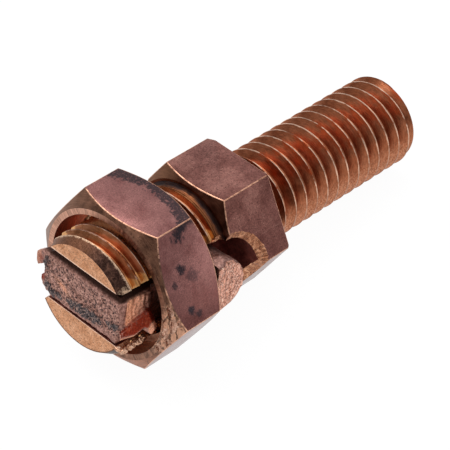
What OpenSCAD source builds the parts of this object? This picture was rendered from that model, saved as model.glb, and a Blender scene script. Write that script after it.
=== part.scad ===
// Copper split post connector on a threaded stud.
// The stud screws into a plate and seats on the hex collar. A conductor lies across the
// round-bottomed slot of the split post, and the nut drives the pressure bar down on it.
// X runs along the stud, away from the seat face; the slot opens along Y; Z is up.

/* [Mounting stud] */
// Major diameter of the stud thread
stud_d = 9.525; // [7.9:0.025:12.7]
// Length of the stud from the seat face
stud_len = 22.6; // [14:0.1:40]
// Chamfer at the free end of the stud
stud_chamfer = 0.45; // [0.2:0.05:1]

/* [Hex collar] */
// Width of the collar across its flats
collar_af = 13.4; // [13:0.1:17]
// Length of the collar from the seat face to its front face
collar_len = 6.95; // [6:0.05:10]
// Distance of the front face's round edge inside the flats
collar_face_inset = 0.35; // [0.25:0.05:0.4]
// Angle of the corner chamfer from the front face
collar_chamfer_angle = 30; // [15:1:40]

/* [Split post] */
// Major diameter of the post thread
post_d = 12.7; // [12.3:0.05:13]
// Length of the post from the collar to its end
post_len = 13.55; // [11:0.05:20]
// Chamfer at the end of the post
post_chamfer = 1.05; // [0.4:0.05:1.4]
// Diameter of the plain neck below the thread
neck_d = 11.2; // [10.6:0.05:11.3]
// Length of the neck from the collar to the full thread
neck_len = 1.5; // [1.5:0.05:2.5]
// Radius of the fillet between the neck and the collar
neck_fillet = 0.7; // [0.3:0.05:0.7]

/* [Conductor slot] */
// Width of the slot between the two legs
slot_w = 6.25; // [5.5:0.05:6.5]
// Height of the slot's middle above the axis
slot_rise = 0.25; // [0:0.05:0.4]
// Distance from the seat face to the bottom of the round slot floor
slot_floor = 3.7; // [3:0.05:4.5]
// Radius of the raw bevel round each slot mouth, on the collar's flats
mouth_r = 3.85; // [3.6:0.05:4.2]
// Distance of the bevel's centre from the collar's corner, along each flat
mouth_shift = 0.9; // [0.5:0.05:1.2]

/* [Clamp nut] */
// Width of the nut across its flats
nut_af = 16.7; // [16.4:0.1:20]
// Length of the nut
nut_len = 6.8; // [6:0.1:9]
// Distance of each end face's round edge inside the nut's flats
nut_face_inset = 0.35; // [0.25:0.05:0.55]
// Angle of the nut's corner chamfers from its end faces
nut_chamfer_angle = 36; // [20:1:40]
// Wall left round the counterbore in the nut's front, at the flats
counterbore_wall = 0.975; // [0.85:0.025:1.2]
// Depth of the counterbore
counterbore_depth = 2.6; // [1.5:0.1:3.5]
// Bevel at the rear mouth of the nut's bore
bore_bevel = 0.5; // [0.2:0.05:0.8]
// Radial clearance of the nut on the post
thread_clearance = 0.06; // [0.02:0.01:0.1]

/* [Pressure bar] */
// Open distance between the bar's nose and the slot floor
clamp_gap = 3.04; // [1:0.02:5]
// Length of the bar from its nose to its front end
bar_len = 13.76; // [12:0.02:18]
// Width of the bar where it passes through the nut
bar_w = 9; // [7.5:0.1:9.6]
// Distance by which the pad that presses on the conductor stands past the collar's corners
pad_overhang = 0.06; // [-0.8:0.02:1.2]
// Length of the pad from its nose to the shoulder behind the nut
pad_len = 3.66; // [3.4:0.02:6]
// Clearance between the bar and each wall of the slot
bar_clearance = 0.25; // [0.15:0.05:0.5]
// End play between the pad's shoulder and the nut
shoulder_play = 0.3; // [0.1:0.05:0.5]
// Edge break on the long edges of the bar's front end
bar_break = 0.3; // [0.1:0.05:0.6]

/* [Staked ears] */
// Radial clearance between the ears and the counterbore
ear_clearance = 0.35; // [0.2:0.05:0.6]
// Thickness of the two ears spread at the front end, along the axis
ear_thick = 1.3; // [0.8:0.1:2]
// Height of each of those ears
ear_height = 1.9; // [1.2:0.1:2.2]
// Gap between those ears
ear_gap = 0.9; // [0.4:0.1:1.4]
// Step by which the lower ear is shorter than the upper one
ear_step = 0.6; // [0:0.05:1]
// Distance of the bent ear's tip behind the bar's front end
hook_setback = 2.9; // [2.2:0.1:3.6]
// Height of the bent ear
hook_height = 1.9; // [1.2:0.1:2.4]
// Depth of the chisel cut that spread the bent ear
chisel_depth = 1.5; // [0.8:0.1:2]
// Width of the chisel cut on the bar's front end
chisel_w = 0.9; // [0.5:0.1:1.4]

/* [Hidden] */
$fn = 96;

overlap = 0.5;
arc_steps = 6;
collar_face_x = -collar_len;
post_end_x = collar_face_x - post_len;
slot_r = slot_w / 2;
slot_centre_x = -slot_floor - slot_r;
bar_t = slot_w - 2 * bar_clearance;
nose_x = -slot_floor - clamp_gap;
shoulder_x = nose_x - pad_len;
bar_end_x = nose_x - bar_len;
nut_rear_x = shoulder_x - shoulder_play;
nut_front_x = nut_rear_x - nut_len;
bore_r = post_d / 2 + thread_clearance;
counterbore_r = nut_af / 2 - counterbore_wall;
ear_r = counterbore_r - ear_clearance;
collar_face_r = collar_af / 2 - collar_face_inset;
collar_corner_r = collar_af / sqrt(3);
neck_r = neck_d / 2;
neck_round = min(neck_fillet, collar_face_r - neck_r);
pad_w = 2 * (collar_corner_r + pad_overhang);
bar_bottom = slot_rise - bar_t / 2;

// Distance along Y at which a point at height z lies r from the axis
function reach(r, z) = sqrt(r * r - z * z);

// Points of a concave quarter round between a face at x and a barrel of radius r
function neck_arc(r, x) = [
    for (i = [0 : arc_steps])
        let (turn = 90 + 90 * i / arc_steps)
        [r + neck_round * (1 + cos(turn)), x - neck_round * (1 - sin(turn))]
];

// Solid turned about X from a profile of [radius, x] points
module turned(profile) {
    rotate([0, 90, 0])
        rotate_extrude()
            polygon(profile);
}

// Round bar along X from x0 to x1
module round_bar(r, x0, x1) {
    translate([x0, 0, 0])
        rotate([0, 90, 0])
            cylinder(r = r, h = x1 - x0);
}

// Hexagonal bar along X from x0 to x1, with flats at top and bottom
module hex_bar(af, x0, x1) {
    translate([x0, 0, 0])
        rotate([0, 90, 0])
            rotate([0, 0, 90])
                cylinder(d = af / cos(30), h = x1 - x0, $fn = 6);
}

// Slot through the post and the collar, with its round floor
module conductor_slot() {
    translate([0, collar_af, slot_rise])
        rotate([90, 0, 0])
            linear_extrude(2 * collar_af) {
                translate([slot_centre_x, 0])
                    circle(r = slot_r);
                translate([post_end_x - overlap, -slot_r])
                    square([slot_centre_x - post_end_x + overlap, slot_w]);
            }
}

// Bevels where the slot breaks out through the four side flats of the collar
module mouth_bevels() {
    for (side = [0, 1], tilt = [-1, 1])
        mirror([0, side, 0])
            translate([slot_centre_x, 0, slot_rise])
                rotate([90 - 30 * tilt, 0, 0])
                    translate([0, tilt * (mouth_shift - collar_af / 2 * tan(30)), 0])
                        mouth_cone(collar_af / 2 - slot_rise * tilt * sin(30));
}

// Conical cutter that is mouth_r wide at the flat, which lies at height h
module mouth_cone(h) {
    translate([0, 0, h - mouth_r])
        cylinder(r1 = 0, r2 = mouth_r + overlap, h = mouth_r + overlap);
}

// Hex collar with its corners chamfered on the post's side
module collar() {
    corner_r = collar_corner_r + overlap;
    chamfer_x = collar_face_x + (corner_r - collar_face_r) * tan(collar_chamfer_angle);
    intersection() {
        hex_bar(collar_af, collar_face_x, 0);
        turned([
            [0, collar_face_x], [collar_face_r, collar_face_x],
            [corner_r, chamfer_x], [corner_r, 0], [0, 0]
        ]);
    }
}

// Mounting stud with a chamfered end
module stud() {
    r = stud_d / 2;
    turned([
        [0, -overlap], [r, -overlap],
        [r, stud_len - stud_chamfer], [r - stud_chamfer, stud_len], [0, stud_len]
    ]);
}

// Post with a filleted neck, before it is split
module post() {
    r = post_d / 2;
    thread_x = collar_face_x - neck_len;
    turned(concat(
        [[0, collar_face_x + overlap], [neck_r, collar_face_x + overlap]],
        [[neck_r, collar_face_x]],
        neck_arc(neck_r, collar_face_x),
        [[neck_r, thread_x + r - neck_r], [r, thread_x]],
        [[r, post_end_x + post_chamfer], [r - post_chamfer, post_end_x], [0, post_end_x]]
    ));
}

// Stud, collar and split post, cut from one bar
module stud_body() {
    color("#8f5f4e")
        difference() {
            union() {
                stud();
                difference() {
                    collar();
                    mouth_bevels();
                }
                post();
            }
            conductor_slot();
        }
}

// Hex nut, chamfered at both ends and counterbored for the bar's ears
module clamp_nut() {
    corner_r = nut_af / sqrt(3) + overlap;
    face_r = nut_af / 2 - nut_face_inset;
    rise = (corner_r - face_r) * tan(nut_chamfer_angle);
    bevel_r = bore_r + bore_bevel + overlap;
    color("#7f5854")
        difference() {
            intersection() {
                hex_bar(nut_af, nut_front_x, nut_rear_x);
                turned([
                    [0, nut_front_x], [face_r, nut_front_x], [corner_r, nut_front_x + rise],
                    [corner_r, nut_rear_x - rise], [face_r, nut_rear_x], [0, nut_rear_x]
                ]);
            }
            round_bar(bore_r, nut_front_x - overlap, nut_rear_x + overlap);
            round_bar(counterbore_r, nut_front_x - overlap, nut_front_x + counterbore_depth);
            turned([
                [0, nut_rear_x - bevel_r + overlap], [0, nut_rear_x + overlap],
                [bevel_r, nut_rear_x + overlap]
            ]);
        }
}

// Ear spread outward at the bar's front end, between heights z0 and z1, out to y
module front_ear(y, z0, z1) {
    root_y = bar_w / 2 - overlap;
    translate([0, 0, z0])
        linear_extrude(z1 - z0)
            polygon([
                [bar_end_x, root_y], [bar_end_x, y],
                [bar_end_x + ear_thick, y - ear_thick / 4], [bar_end_x + 2 * ear_thick, root_y]
            ]);
}

// Ear on the other side, bent back into the counterbore
module bent_ear(z0, z1) {
    tip_y = reach(ear_r, max(abs(z0), abs(z1)));
    tip_x = bar_end_x + hook_setback;
    root_y = bar_w / 2 - overlap;
    translate([0, 0, z0])
        linear_extrude(z1 - z0)
            polygon([
                [tip_x - chisel_depth, -root_y], [tip_x - ear_thick / 2, -tip_y],
                [tip_x, -tip_y], [tip_x + ear_thick, -root_y]
            ]);
}

// Chisel cut at the bar's front edge, beside the bent ear
module chisel_cut(z0, z1) {
    side_y = bar_w / 2;
    translate([0, 0, z0])
        linear_extrude(z1 - z0)
            polygon([
                [bar_end_x - overlap, -side_y + chisel_w], [bar_end_x, -side_y + chisel_w],
                [bar_end_x + chisel_depth, -side_y], [bar_end_x + chisel_depth, -side_y - overlap],
                [bar_end_x - overlap, -side_y - overlap]
            ]);
}

// Bar section through the nut, with its front edges broken
module bar_shank() {
    half = bar_t / 2;
    translate([0, bar_w / 2, slot_rise])
        rotate([90, 0, 0])
            linear_extrude(bar_w)
                polygon([
                    [shoulder_x + overlap, -half], [shoulder_x + overlap, half],
                    [bar_end_x + bar_break, half], [bar_end_x, half - bar_break],
                    [bar_end_x, bar_break - half], [bar_end_x + bar_break, -half]
                ]);
}

// Wide pad with a full-round nose towards the slot floor
module pad() {
    nose_r = bar_t / 2;
    translate([0, pad_w / 2, slot_rise])
        rotate([90, 0, 0])
            linear_extrude(pad_w)
                intersection() {
                    translate([shoulder_x, -nose_r])
                        square([pad_len, bar_t]);
                    union() {
                        translate([nose_x - nose_r, 0])
                            circle(r = nose_r);
                        translate([shoulder_x, -nose_r])
                            square([pad_len - nose_r, bar_t]);
                    }
                }
}

// Pressure bar: shank, pad and the ears that keep it in the nut
module pressure_bar() {
    low_z0 = bar_bottom + bar_break;
    low_z1 = low_z0 + ear_height;
    high_z0 = low_z1 + ear_gap;
    high_z1 = high_z0 + ear_height;
    hook_z1 = low_z0 + hook_height;
    color("#a9766a")
        union() {
            difference() {
                bar_shank();
                chisel_cut(low_z0, hook_z1);
            }
            pad();
            front_ear(reach(ear_r, high_z1), high_z0, high_z1);
            front_ear(reach(ear_r, low_z0) - ear_step, low_z0, low_z1);
            bent_ear(low_z0, hook_z1);
        }
}

stud_body();
clamp_nut();
pressure_bar();
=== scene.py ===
"""Copper split post connector with a mounting stud, dressed for a studio picture.

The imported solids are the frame, and each is replaced by a worked mesh of the same form.
Threads, worn edges, chips, pits and the staking marks are modelled here. Meshes are drawn
in millimetres along X, as the solids lie, and are brought to metres when they are finished.
"""

import itertools
import logging
import math
from collections.abc import Callable, Iterator
from contextlib import contextmanager
from dataclasses import dataclass, field
from enum import Enum

import bpy
import numpy as np
from mathutils import Matrix, Vector, noise


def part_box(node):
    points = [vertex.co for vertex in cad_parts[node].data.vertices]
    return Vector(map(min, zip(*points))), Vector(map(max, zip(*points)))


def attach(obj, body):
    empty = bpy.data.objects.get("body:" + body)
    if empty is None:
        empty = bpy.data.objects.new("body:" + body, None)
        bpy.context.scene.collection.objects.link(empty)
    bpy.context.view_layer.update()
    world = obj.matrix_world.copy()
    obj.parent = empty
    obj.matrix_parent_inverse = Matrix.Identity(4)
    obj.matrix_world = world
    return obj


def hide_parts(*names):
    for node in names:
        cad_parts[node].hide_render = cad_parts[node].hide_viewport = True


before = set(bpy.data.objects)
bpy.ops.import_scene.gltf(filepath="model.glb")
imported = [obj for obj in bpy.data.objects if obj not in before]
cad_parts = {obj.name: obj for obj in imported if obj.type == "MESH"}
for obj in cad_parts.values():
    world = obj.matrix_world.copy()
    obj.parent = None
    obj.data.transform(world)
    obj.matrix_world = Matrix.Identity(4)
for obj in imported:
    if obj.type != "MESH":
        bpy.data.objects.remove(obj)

MM = 0.001
PHOTO_PX = 450
SENSOR_MM = 36.0
ROUND_STEPS = 144
THREAD_STEPS = 96
MERGE_MM = 1e-3
LATHE_MERGE_MM = 1e-4
LAST_MERGE_MM = 2e-4
SLIVER_MM = 0.02
SQUARE_ON = 0.99
SMOOTH_DEG = 16
STUD_R = 4.88
POST_PITCH = 1.18
POST_CREST_X = -18.5

log = logging.getLogger("connector")

Pair = tuple[float, float]
Point = tuple[float, float, float]
Colour = tuple[float, float, float, float]
Piece = bpy.types.Object
Material = bpy.types.Material
Socket = bpy.types.NodeSocket
Tree = bpy.types.NodeTree


class Blend(Enum):
    """How two solids are combined."""

    JOIN = "UNION"
    CUT = "DIFFERENCE"
    COMMON = "INTERSECT"


class Plane(Enum):
    """Plane in which a closed outline is drawn before it is pulled out."""

    SIDE = "xz"
    TOP = "xy"
    FRONT = "yz"


class Grain(Enum):
    """Direction in which the tool left its marks on a surface."""

    EVEN = "even"
    TURNED = "turned"
    RADIAL = "radial"
    SAWN = "sawn"


def srgb(code: str) -> Colour:
    """Turns an sRGB hex value into a linear colour.

    Args:
        code: Colour such as "#b87333".

    Returns:
        Linear red, green, blue and an alpha of 1.
    """
    channels = [int(code[i:i + 2], 16) / 255 for i in (1, 3, 5)]
    linear = [c / 12.92 if c <= 0.04045 else ((c + 0.055) / 1.055) ** 2.4 for c in channels]
    return (linear[0], linear[1], linear[2], 1.0)


def add_node(tree: Tree, kind: str, links: dict | None = None, **settings: object) -> bpy.types.Node:
    """Adds a shader node with its settings and links.

    Args:
        tree: Node tree that gets the node.
        kind: Type name of the node.
        links: Input name or number, with a socket to link or a value to set.
        **settings: Properties of the node itself.

    Returns:
        The new node.
    """
    node = tree.nodes.new(kind)
    for name, value in settings.items():
        setattr(node, name, value)
    for socket, value in (links or {}).items():
        if isinstance(value, Socket):
            tree.links.new(value, node.inputs[socket])
        else:
            node.inputs[socket].default_value = value
    return node


def activate(piece: Piece) -> None:
    """Makes one object the only selected and the active one.

    Args:
        piece: Object to work on.
    """
    bpy.ops.object.select_all(action="DESELECT")
    piece.select_set(True)
    bpy.context.view_layer.objects.active = piece


@contextmanager
def editing(piece: Piece) -> Iterator[None]:
    """Opens a mesh in edit mode with all of it selected, and closes it again.

    Args:
        piece: Mesh object to edit.
    """
    activate(piece)
    bpy.ops.object.mode_set(mode="EDIT")
    bpy.ops.mesh.select_all(action="SELECT")
    yield
    bpy.ops.object.mode_set(mode="OBJECT")


def apply_modifier(piece: Piece, kind: str, **settings: object) -> None:
    """Adds a modifier and applies it at once.

    Args:
        piece: Object that gets the modifier.
        kind: Type name of the modifier.
        **settings: Properties of the modifier.
    """
    modifier = piece.modifiers.new(kind.lower(), kind)
    for name, value in settings.items():
        setattr(modifier, name, value)
    activate(piece)
    bpy.ops.object.modifier_apply(modifier=modifier.name)


def combine(piece: Piece, tool: Piece, how: Blend) -> None:
    """Joins, cuts or intersects a piece with a tool, which is used up.

    Args:
        piece: Object that is changed, and takes over the tool's finishes.
        tool: Closed mesh to combine with.
        how: Kind of combination.
    """
    with editing(piece):
        bpy.ops.mesh.remove_doubles(threshold=MERGE_MM)
    apply_modifier(
        piece, "BOOLEAN", operation=how.value, object=tool, solver="MANIFOLD", material_mode="TRANSFER"
    )
    bpy.data.objects.remove(tool)


def draw_outline(name: str, points: list[Point], closed: bool) -> Piece:
    """Draws an outline by pulling one vertex from point to point.

    Args:
        name: Name of the new object.
        points: Corners of the outline in millimetres.
        closed: Whether the outline is closed and filled.

    Returns:
        The new mesh object.
    """
    bpy.ops.object.select_all(action="DESELECT")
    bpy.ops.mesh.primitive_plane_add(size=1)
    piece = bpy.context.object
    piece.name = name
    with editing(piece):
        bpy.ops.mesh.merge(type="CENTER")
        bpy.ops.transform.translate(value=points[0])
        for here, there in zip(points, points[1:]):
            step = Vector(there) - Vector(here)
            bpy.ops.mesh.extrude_region_move(TRANSFORM_OT_translate={"value": step})
        bpy.ops.mesh.select_all(action="SELECT")
        if closed:
            bpy.ops.mesh.edge_face_add()
    return piece


def turned(name: str, profile: list[Pair]) -> Piece:
    """Turns a profile about X, as on a lathe.

    Args:
        name: Name of the new object.
        profile: Pairs of a place along X and a radius, from axis to axis.

    Returns:
        The closed mesh object.
    """
    piece = draw_outline(name, [(x, 0.0, r) for x, r in profile], closed=False)
    with editing(piece):
        bpy.ops.mesh.spin(
            steps=ROUND_STEPS, angle=math.tau, center=(0, 0, 0), axis=(1, 0, 0), use_auto_merge=True
        )
        bpy.ops.mesh.select_all(action="SELECT")
        bpy.ops.mesh.remove_doubles(threshold=LATHE_MERGE_MM)
        bpy.ops.mesh.normals_make_consistent(inside=False)
    return piece


def prism(name: str, outline: list[Pair], plane: Plane, start: float, end: float) -> Piece:
    """Pulls a closed outline out into a solid.

    Args:
        name: Name of the new object.
        outline: Corners in the plane, in millimetres.
        plane: Plane of the outline.
        start: Where the solid starts, across the plane.
        end: Where it ends.

    Returns:
        The closed mesh object.
    """
    axes = plane.value + (set("xyz") - set(plane.value)).pop()
    first, second, across = ("xyz".index(axis) for axis in axes)
    corners = []
    for a, b in outline:
        corner = [start] * 3
        corner[first], corner[second] = a, b
        corners.append(tuple(corner))
    pull = [0.0] * 3
    pull[across] = end - start
    piece = draw_outline(name, corners, closed=True)
    with editing(piece):
        bpy.ops.mesh.extrude_region_move(TRANSFORM_OT_translate={"value": pull})
        bpy.ops.mesh.select_all(action="SELECT")
        bpy.ops.mesh.normals_make_consistent(inside=False)
    return piece


def loft(name: str, sections: list[tuple[float, list[Pair]]]) -> Piece:
    """Pulls an outline out along X while it changes its form.

    Args:
        name: Name of the new object.
        sections: Pairs of a place along X and an outline across it, each of as many corners.

    Returns:
        The closed mesh object.
    """
    first = sections[0][1]
    piece = draw_outline(name, [(sections[0][0], y, z) for y, z in first], closed=True)
    with editing(piece):
        for (here, _), (there, _) in zip(sections, sections[1:]):
            bpy.ops.mesh.extrude_region_move(TRANSFORM_OT_translate={"value": (there - here, 0, 0)})
    places = coordinates(piece)
    for place in places:
        outline = min(sections, key=lambda section: abs(section[0] - place[0]))[1]
        corner = min(range(len(first)), key=lambda i: math.dist(first[i], place[1:]))
        place[1:] = outline[corner]
    move_vertices(piece, places)
    with editing(piece):
        bpy.ops.mesh.normals_make_consistent(inside=False)
    return piece


def lump(name: str, centre: Point, size: Point, seed: float, ragged: float = 0.35) -> Piece:
    """Makes a ragged lump, for a crumb of copper or the hollow that a chip leaves.

    Args:
        name: Name of the new object.
        centre: Its middle in millimetres.
        size: Its half lengths along X, Y and Z.
        seed: Picks the ragged form.
        ragged: How far the form strays from an ellipsoid, as a share of its size.

    Returns:
        The closed mesh object.
    """
    bpy.ops.object.select_all(action="DESELECT")
    bpy.ops.mesh.primitive_ico_sphere_add(subdivisions=4, radius=1)
    piece = bpy.context.object
    piece.name = name
    places = coordinates(piece)
    coarse, fine, fine_share = 1.4, 3.1, 0.25
    for i, place in enumerate(places):
        spot = Vector(place)
        stray = noise.noise(spot * coarse + Vector((seed, 0, 0)))
        stray += fine_share * noise.noise(spot * fine - Vector((0, seed, 0)))
        places[i] = Vector(centre) + Vector(a * b for a, b in zip(size, spot)) * (1 + ragged * stray)
    move_vertices(piece, places)
    return piece


def arc(centre: Pair, radius: float, start: float, end: float, steps: int) -> list[Pair]:
    """Gives the points of an arc.

    Args:
        centre: Middle of the arc.
        radius: Its radius.
        start: First angle in degrees.
        end: Last angle in degrees.
        steps: Number of chords.

    Returns:
        The points from start to end.
    """
    angles = [math.radians(start + (end - start) * i / steps) for i in range(steps + 1)]
    return [(centre[0] + radius * math.cos(a), centre[1] + radius * math.sin(a)) for a in angles]


def paint(
    piece: Piece, material: Material, test: Callable[[Vector, Vector], bool] | None = None,
) -> None:
    """Gives a material to the faces of a piece that pass a test.

    Args:
        piece: Mesh object to paint.
        material: Finish to give.
        test: Takes a face's middle and normal; all faces pass without it.
    """
    mesh = piece.data
    if material.name not in mesh.materials:
        mesh.materials.append(material)
    index = mesh.materials.find(material.name)
    for face in mesh.polygons:
        if test is None or test(face.center, face.normal):
            face.material_index = index


def coordinates(piece: Piece) -> np.ndarray:
    """Reads the vertices of a mesh.

    Args:
        piece: Mesh object.

    Returns:
        An array with one row for each vertex.
    """
    flat = np.empty(len(piece.data.vertices) * 3)
    piece.data.vertices.foreach_get("co", flat)
    return flat.reshape(-1, 3)


def move_vertices(piece: Piece, places: np.ndarray) -> None:
    """Writes the vertices of a mesh.

    Args:
        piece: Mesh object.
        places: New place of each vertex.
    """
    piece.data.vertices.foreach_set("co", places.ravel())
    piece.data.update()


def to_metres(piece: Piece) -> None:
    """Scales a finished piece from millimetres to metres and smooths its round faces.

    Args:
        piece: Mesh object drawn in millimetres.
    """
    with editing(piece):
        bpy.ops.mesh.remove_doubles(threshold=LAST_MERGE_MM)
    piece.scale = (MM, MM, MM)
    activate(piece)
    bpy.ops.object.transform_apply(location=True, rotation=True, scale=True)
    bpy.ops.object.shade_smooth_by_angle(angle=math.radians(SMOOTH_DEG))


@dataclass(frozen=True)
class Spot:
    """A round mark on a surface, with a soft and ragged rim."""

    centre: Point
    radius: float
    strength: float = 1.0


@dataclass
class Coat:
    """A surface while it is being put together: where it is, and what it looks like there.

    Lengths that its methods measure and compare are in metres.
    """

    tree: Tree
    point: Socket
    colour: Socket
    rough: Socket
    height: Socket

    def marks(self, size_mm: float, detail: float = 4.0, stretch: Point = (1.0, 1.0, 1.0)) -> Socket:
        """Scatters random marks of a real size.

        Args:
            size_mm: Size of the marks.
            detail: Number of finer layers.
            stretch: How far the marks are drawn out along each axis.

        Returns:
            Their strength, around 0.5.
        """
        links = {0: self.point, 1: tuple(1 / s for s in stretch)}
        spot = add_node(self.tree, "ShaderNodeVectorMath", links, operation="MULTIPLY")
        return add_node(self.tree, "ShaderNodeTexNoise", {
            "Vector": spot.outputs["Vector"], "Scale": 1 / (size_mm * MM), "Detail": detail,
            "Roughness": 0.65,
        }).outputs["Fac"]

    def mask(self, value: Socket, low: float, high: float, top: float = 1.0) -> Socket:
        """Turns a value into a soft mask.

        Args:
            value: Value to measure.
            low: Where the mask is 0.
            high: Where it is full, above or below low.
            top: How full it gets.

        Returns:
            The mask.
        """
        return add_node(self.tree, "ShaderNodeMapRange", {
            "Value": value, "From Min": low, "From Max": high, "To Min": 0.0, "To Max": top,
        }, interpolation_type="SMOOTHSTEP").outputs["Result"]

    def both(self, first: Socket, second: Socket) -> Socket:
        """Keeps what two masks share.

        Args:
            first: One mask.
            second: The other.

        Returns:
            Their product.
        """
        links = {0: first, 1: second}
        return add_node(self.tree, "ShaderNodeMath", links, operation="MULTIPLY").outputs[0]

    def shift(self, by: Socket, amount: float, value: Socket) -> Socket:
        """Shifts a value by a share of another, such as a rim by random marks that fray it.

        Args:
            by: What the value is shifted by.
            amount: Share of that.
            value: Value to shift.

        Returns:
            The shifted value.
        """
        links = {0: by, 1: amount, 2: value}
        return add_node(self.tree, "ShaderNodeMath", links, operation="MULTIPLY_ADD").outputs[0]

    def along(self, way: Point) -> Socket:
        """Measures the place along a direction.

        Args:
            way: Direction on the object.

        Returns:
            The distance from the origin along it.
        """
        return add_node(self.tree, "ShaderNodeVectorMath", {
            0: self.point, 1: Vector(way).normalized(),
        }, operation="DOT_PRODUCT").outputs["Value"]

    def axis_distance(self) -> Socket:
        """Measures the distance from the X axis.

        Returns:
            The distance.
        """
        links = {0: self.point, 1: (0, 1, 1)}
        flat = add_node(self.tree, "ShaderNodeVectorMath", links, operation="MULTIPLY").outputs["Vector"]
        return add_node(self.tree, "ShaderNodeVectorMath", {0: flat}, operation="LENGTH").outputs["Value"]

    def off_plane(self, way: Point, place_mm: float) -> Socket:
        """Measures the distance from a plane, on either side of it.

        Args:
            way: Direction across the plane.
            place_mm: Place of the plane along it, in millimetres.

        Returns:
            The distance.
        """
        links = {0: self.along(way), 1: place_mm * MM}
        away = add_node(self.tree, "ShaderNodeMath", links, operation="SUBTRACT").outputs[0]
        return add_node(self.tree, "ShaderNodeMath", {0: away}, operation="ABSOLUTE").outputs[0]

    def distance(self, centre: Point) -> Socket:
        """Measures the distance from a point.

        Args:
            centre: The point, in millimetres.

        Returns:
            The distance.
        """
        return add_node(self.tree, "ShaderNodeVectorMath", {
            0: self.point, 1: Vector(centre) * MM,
        }, operation="DISTANCE").outputs["Value"]

    def patch(self, spot: Spot, ragged: Socket) -> Socket:
        """Masks a round patch with a ragged rim.

        Args:
            spot: Place, size and strength of the patch.
            ragged: Marks that fray the rim.

        Returns:
            The mask.
        """
        size = spot.radius * MM
        rim = self.shift(ragged, size * 3.0, self.distance(spot.centre))
        return self.mask(rim, size * 2.75, size * 2.0, spot.strength)

    def cover(self, mask: Socket, code: str) -> None:
        """Covers the colour with another where a mask says so.

        Args:
            mask: Share of the new colour.
            code: Hex colour.
        """
        self.colour = add_node(self.tree, "ShaderNodeMix", {
            0: mask, 6: self.colour, 7: srgb(code),
        }, data_type="RGBA").outputs[2]


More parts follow.
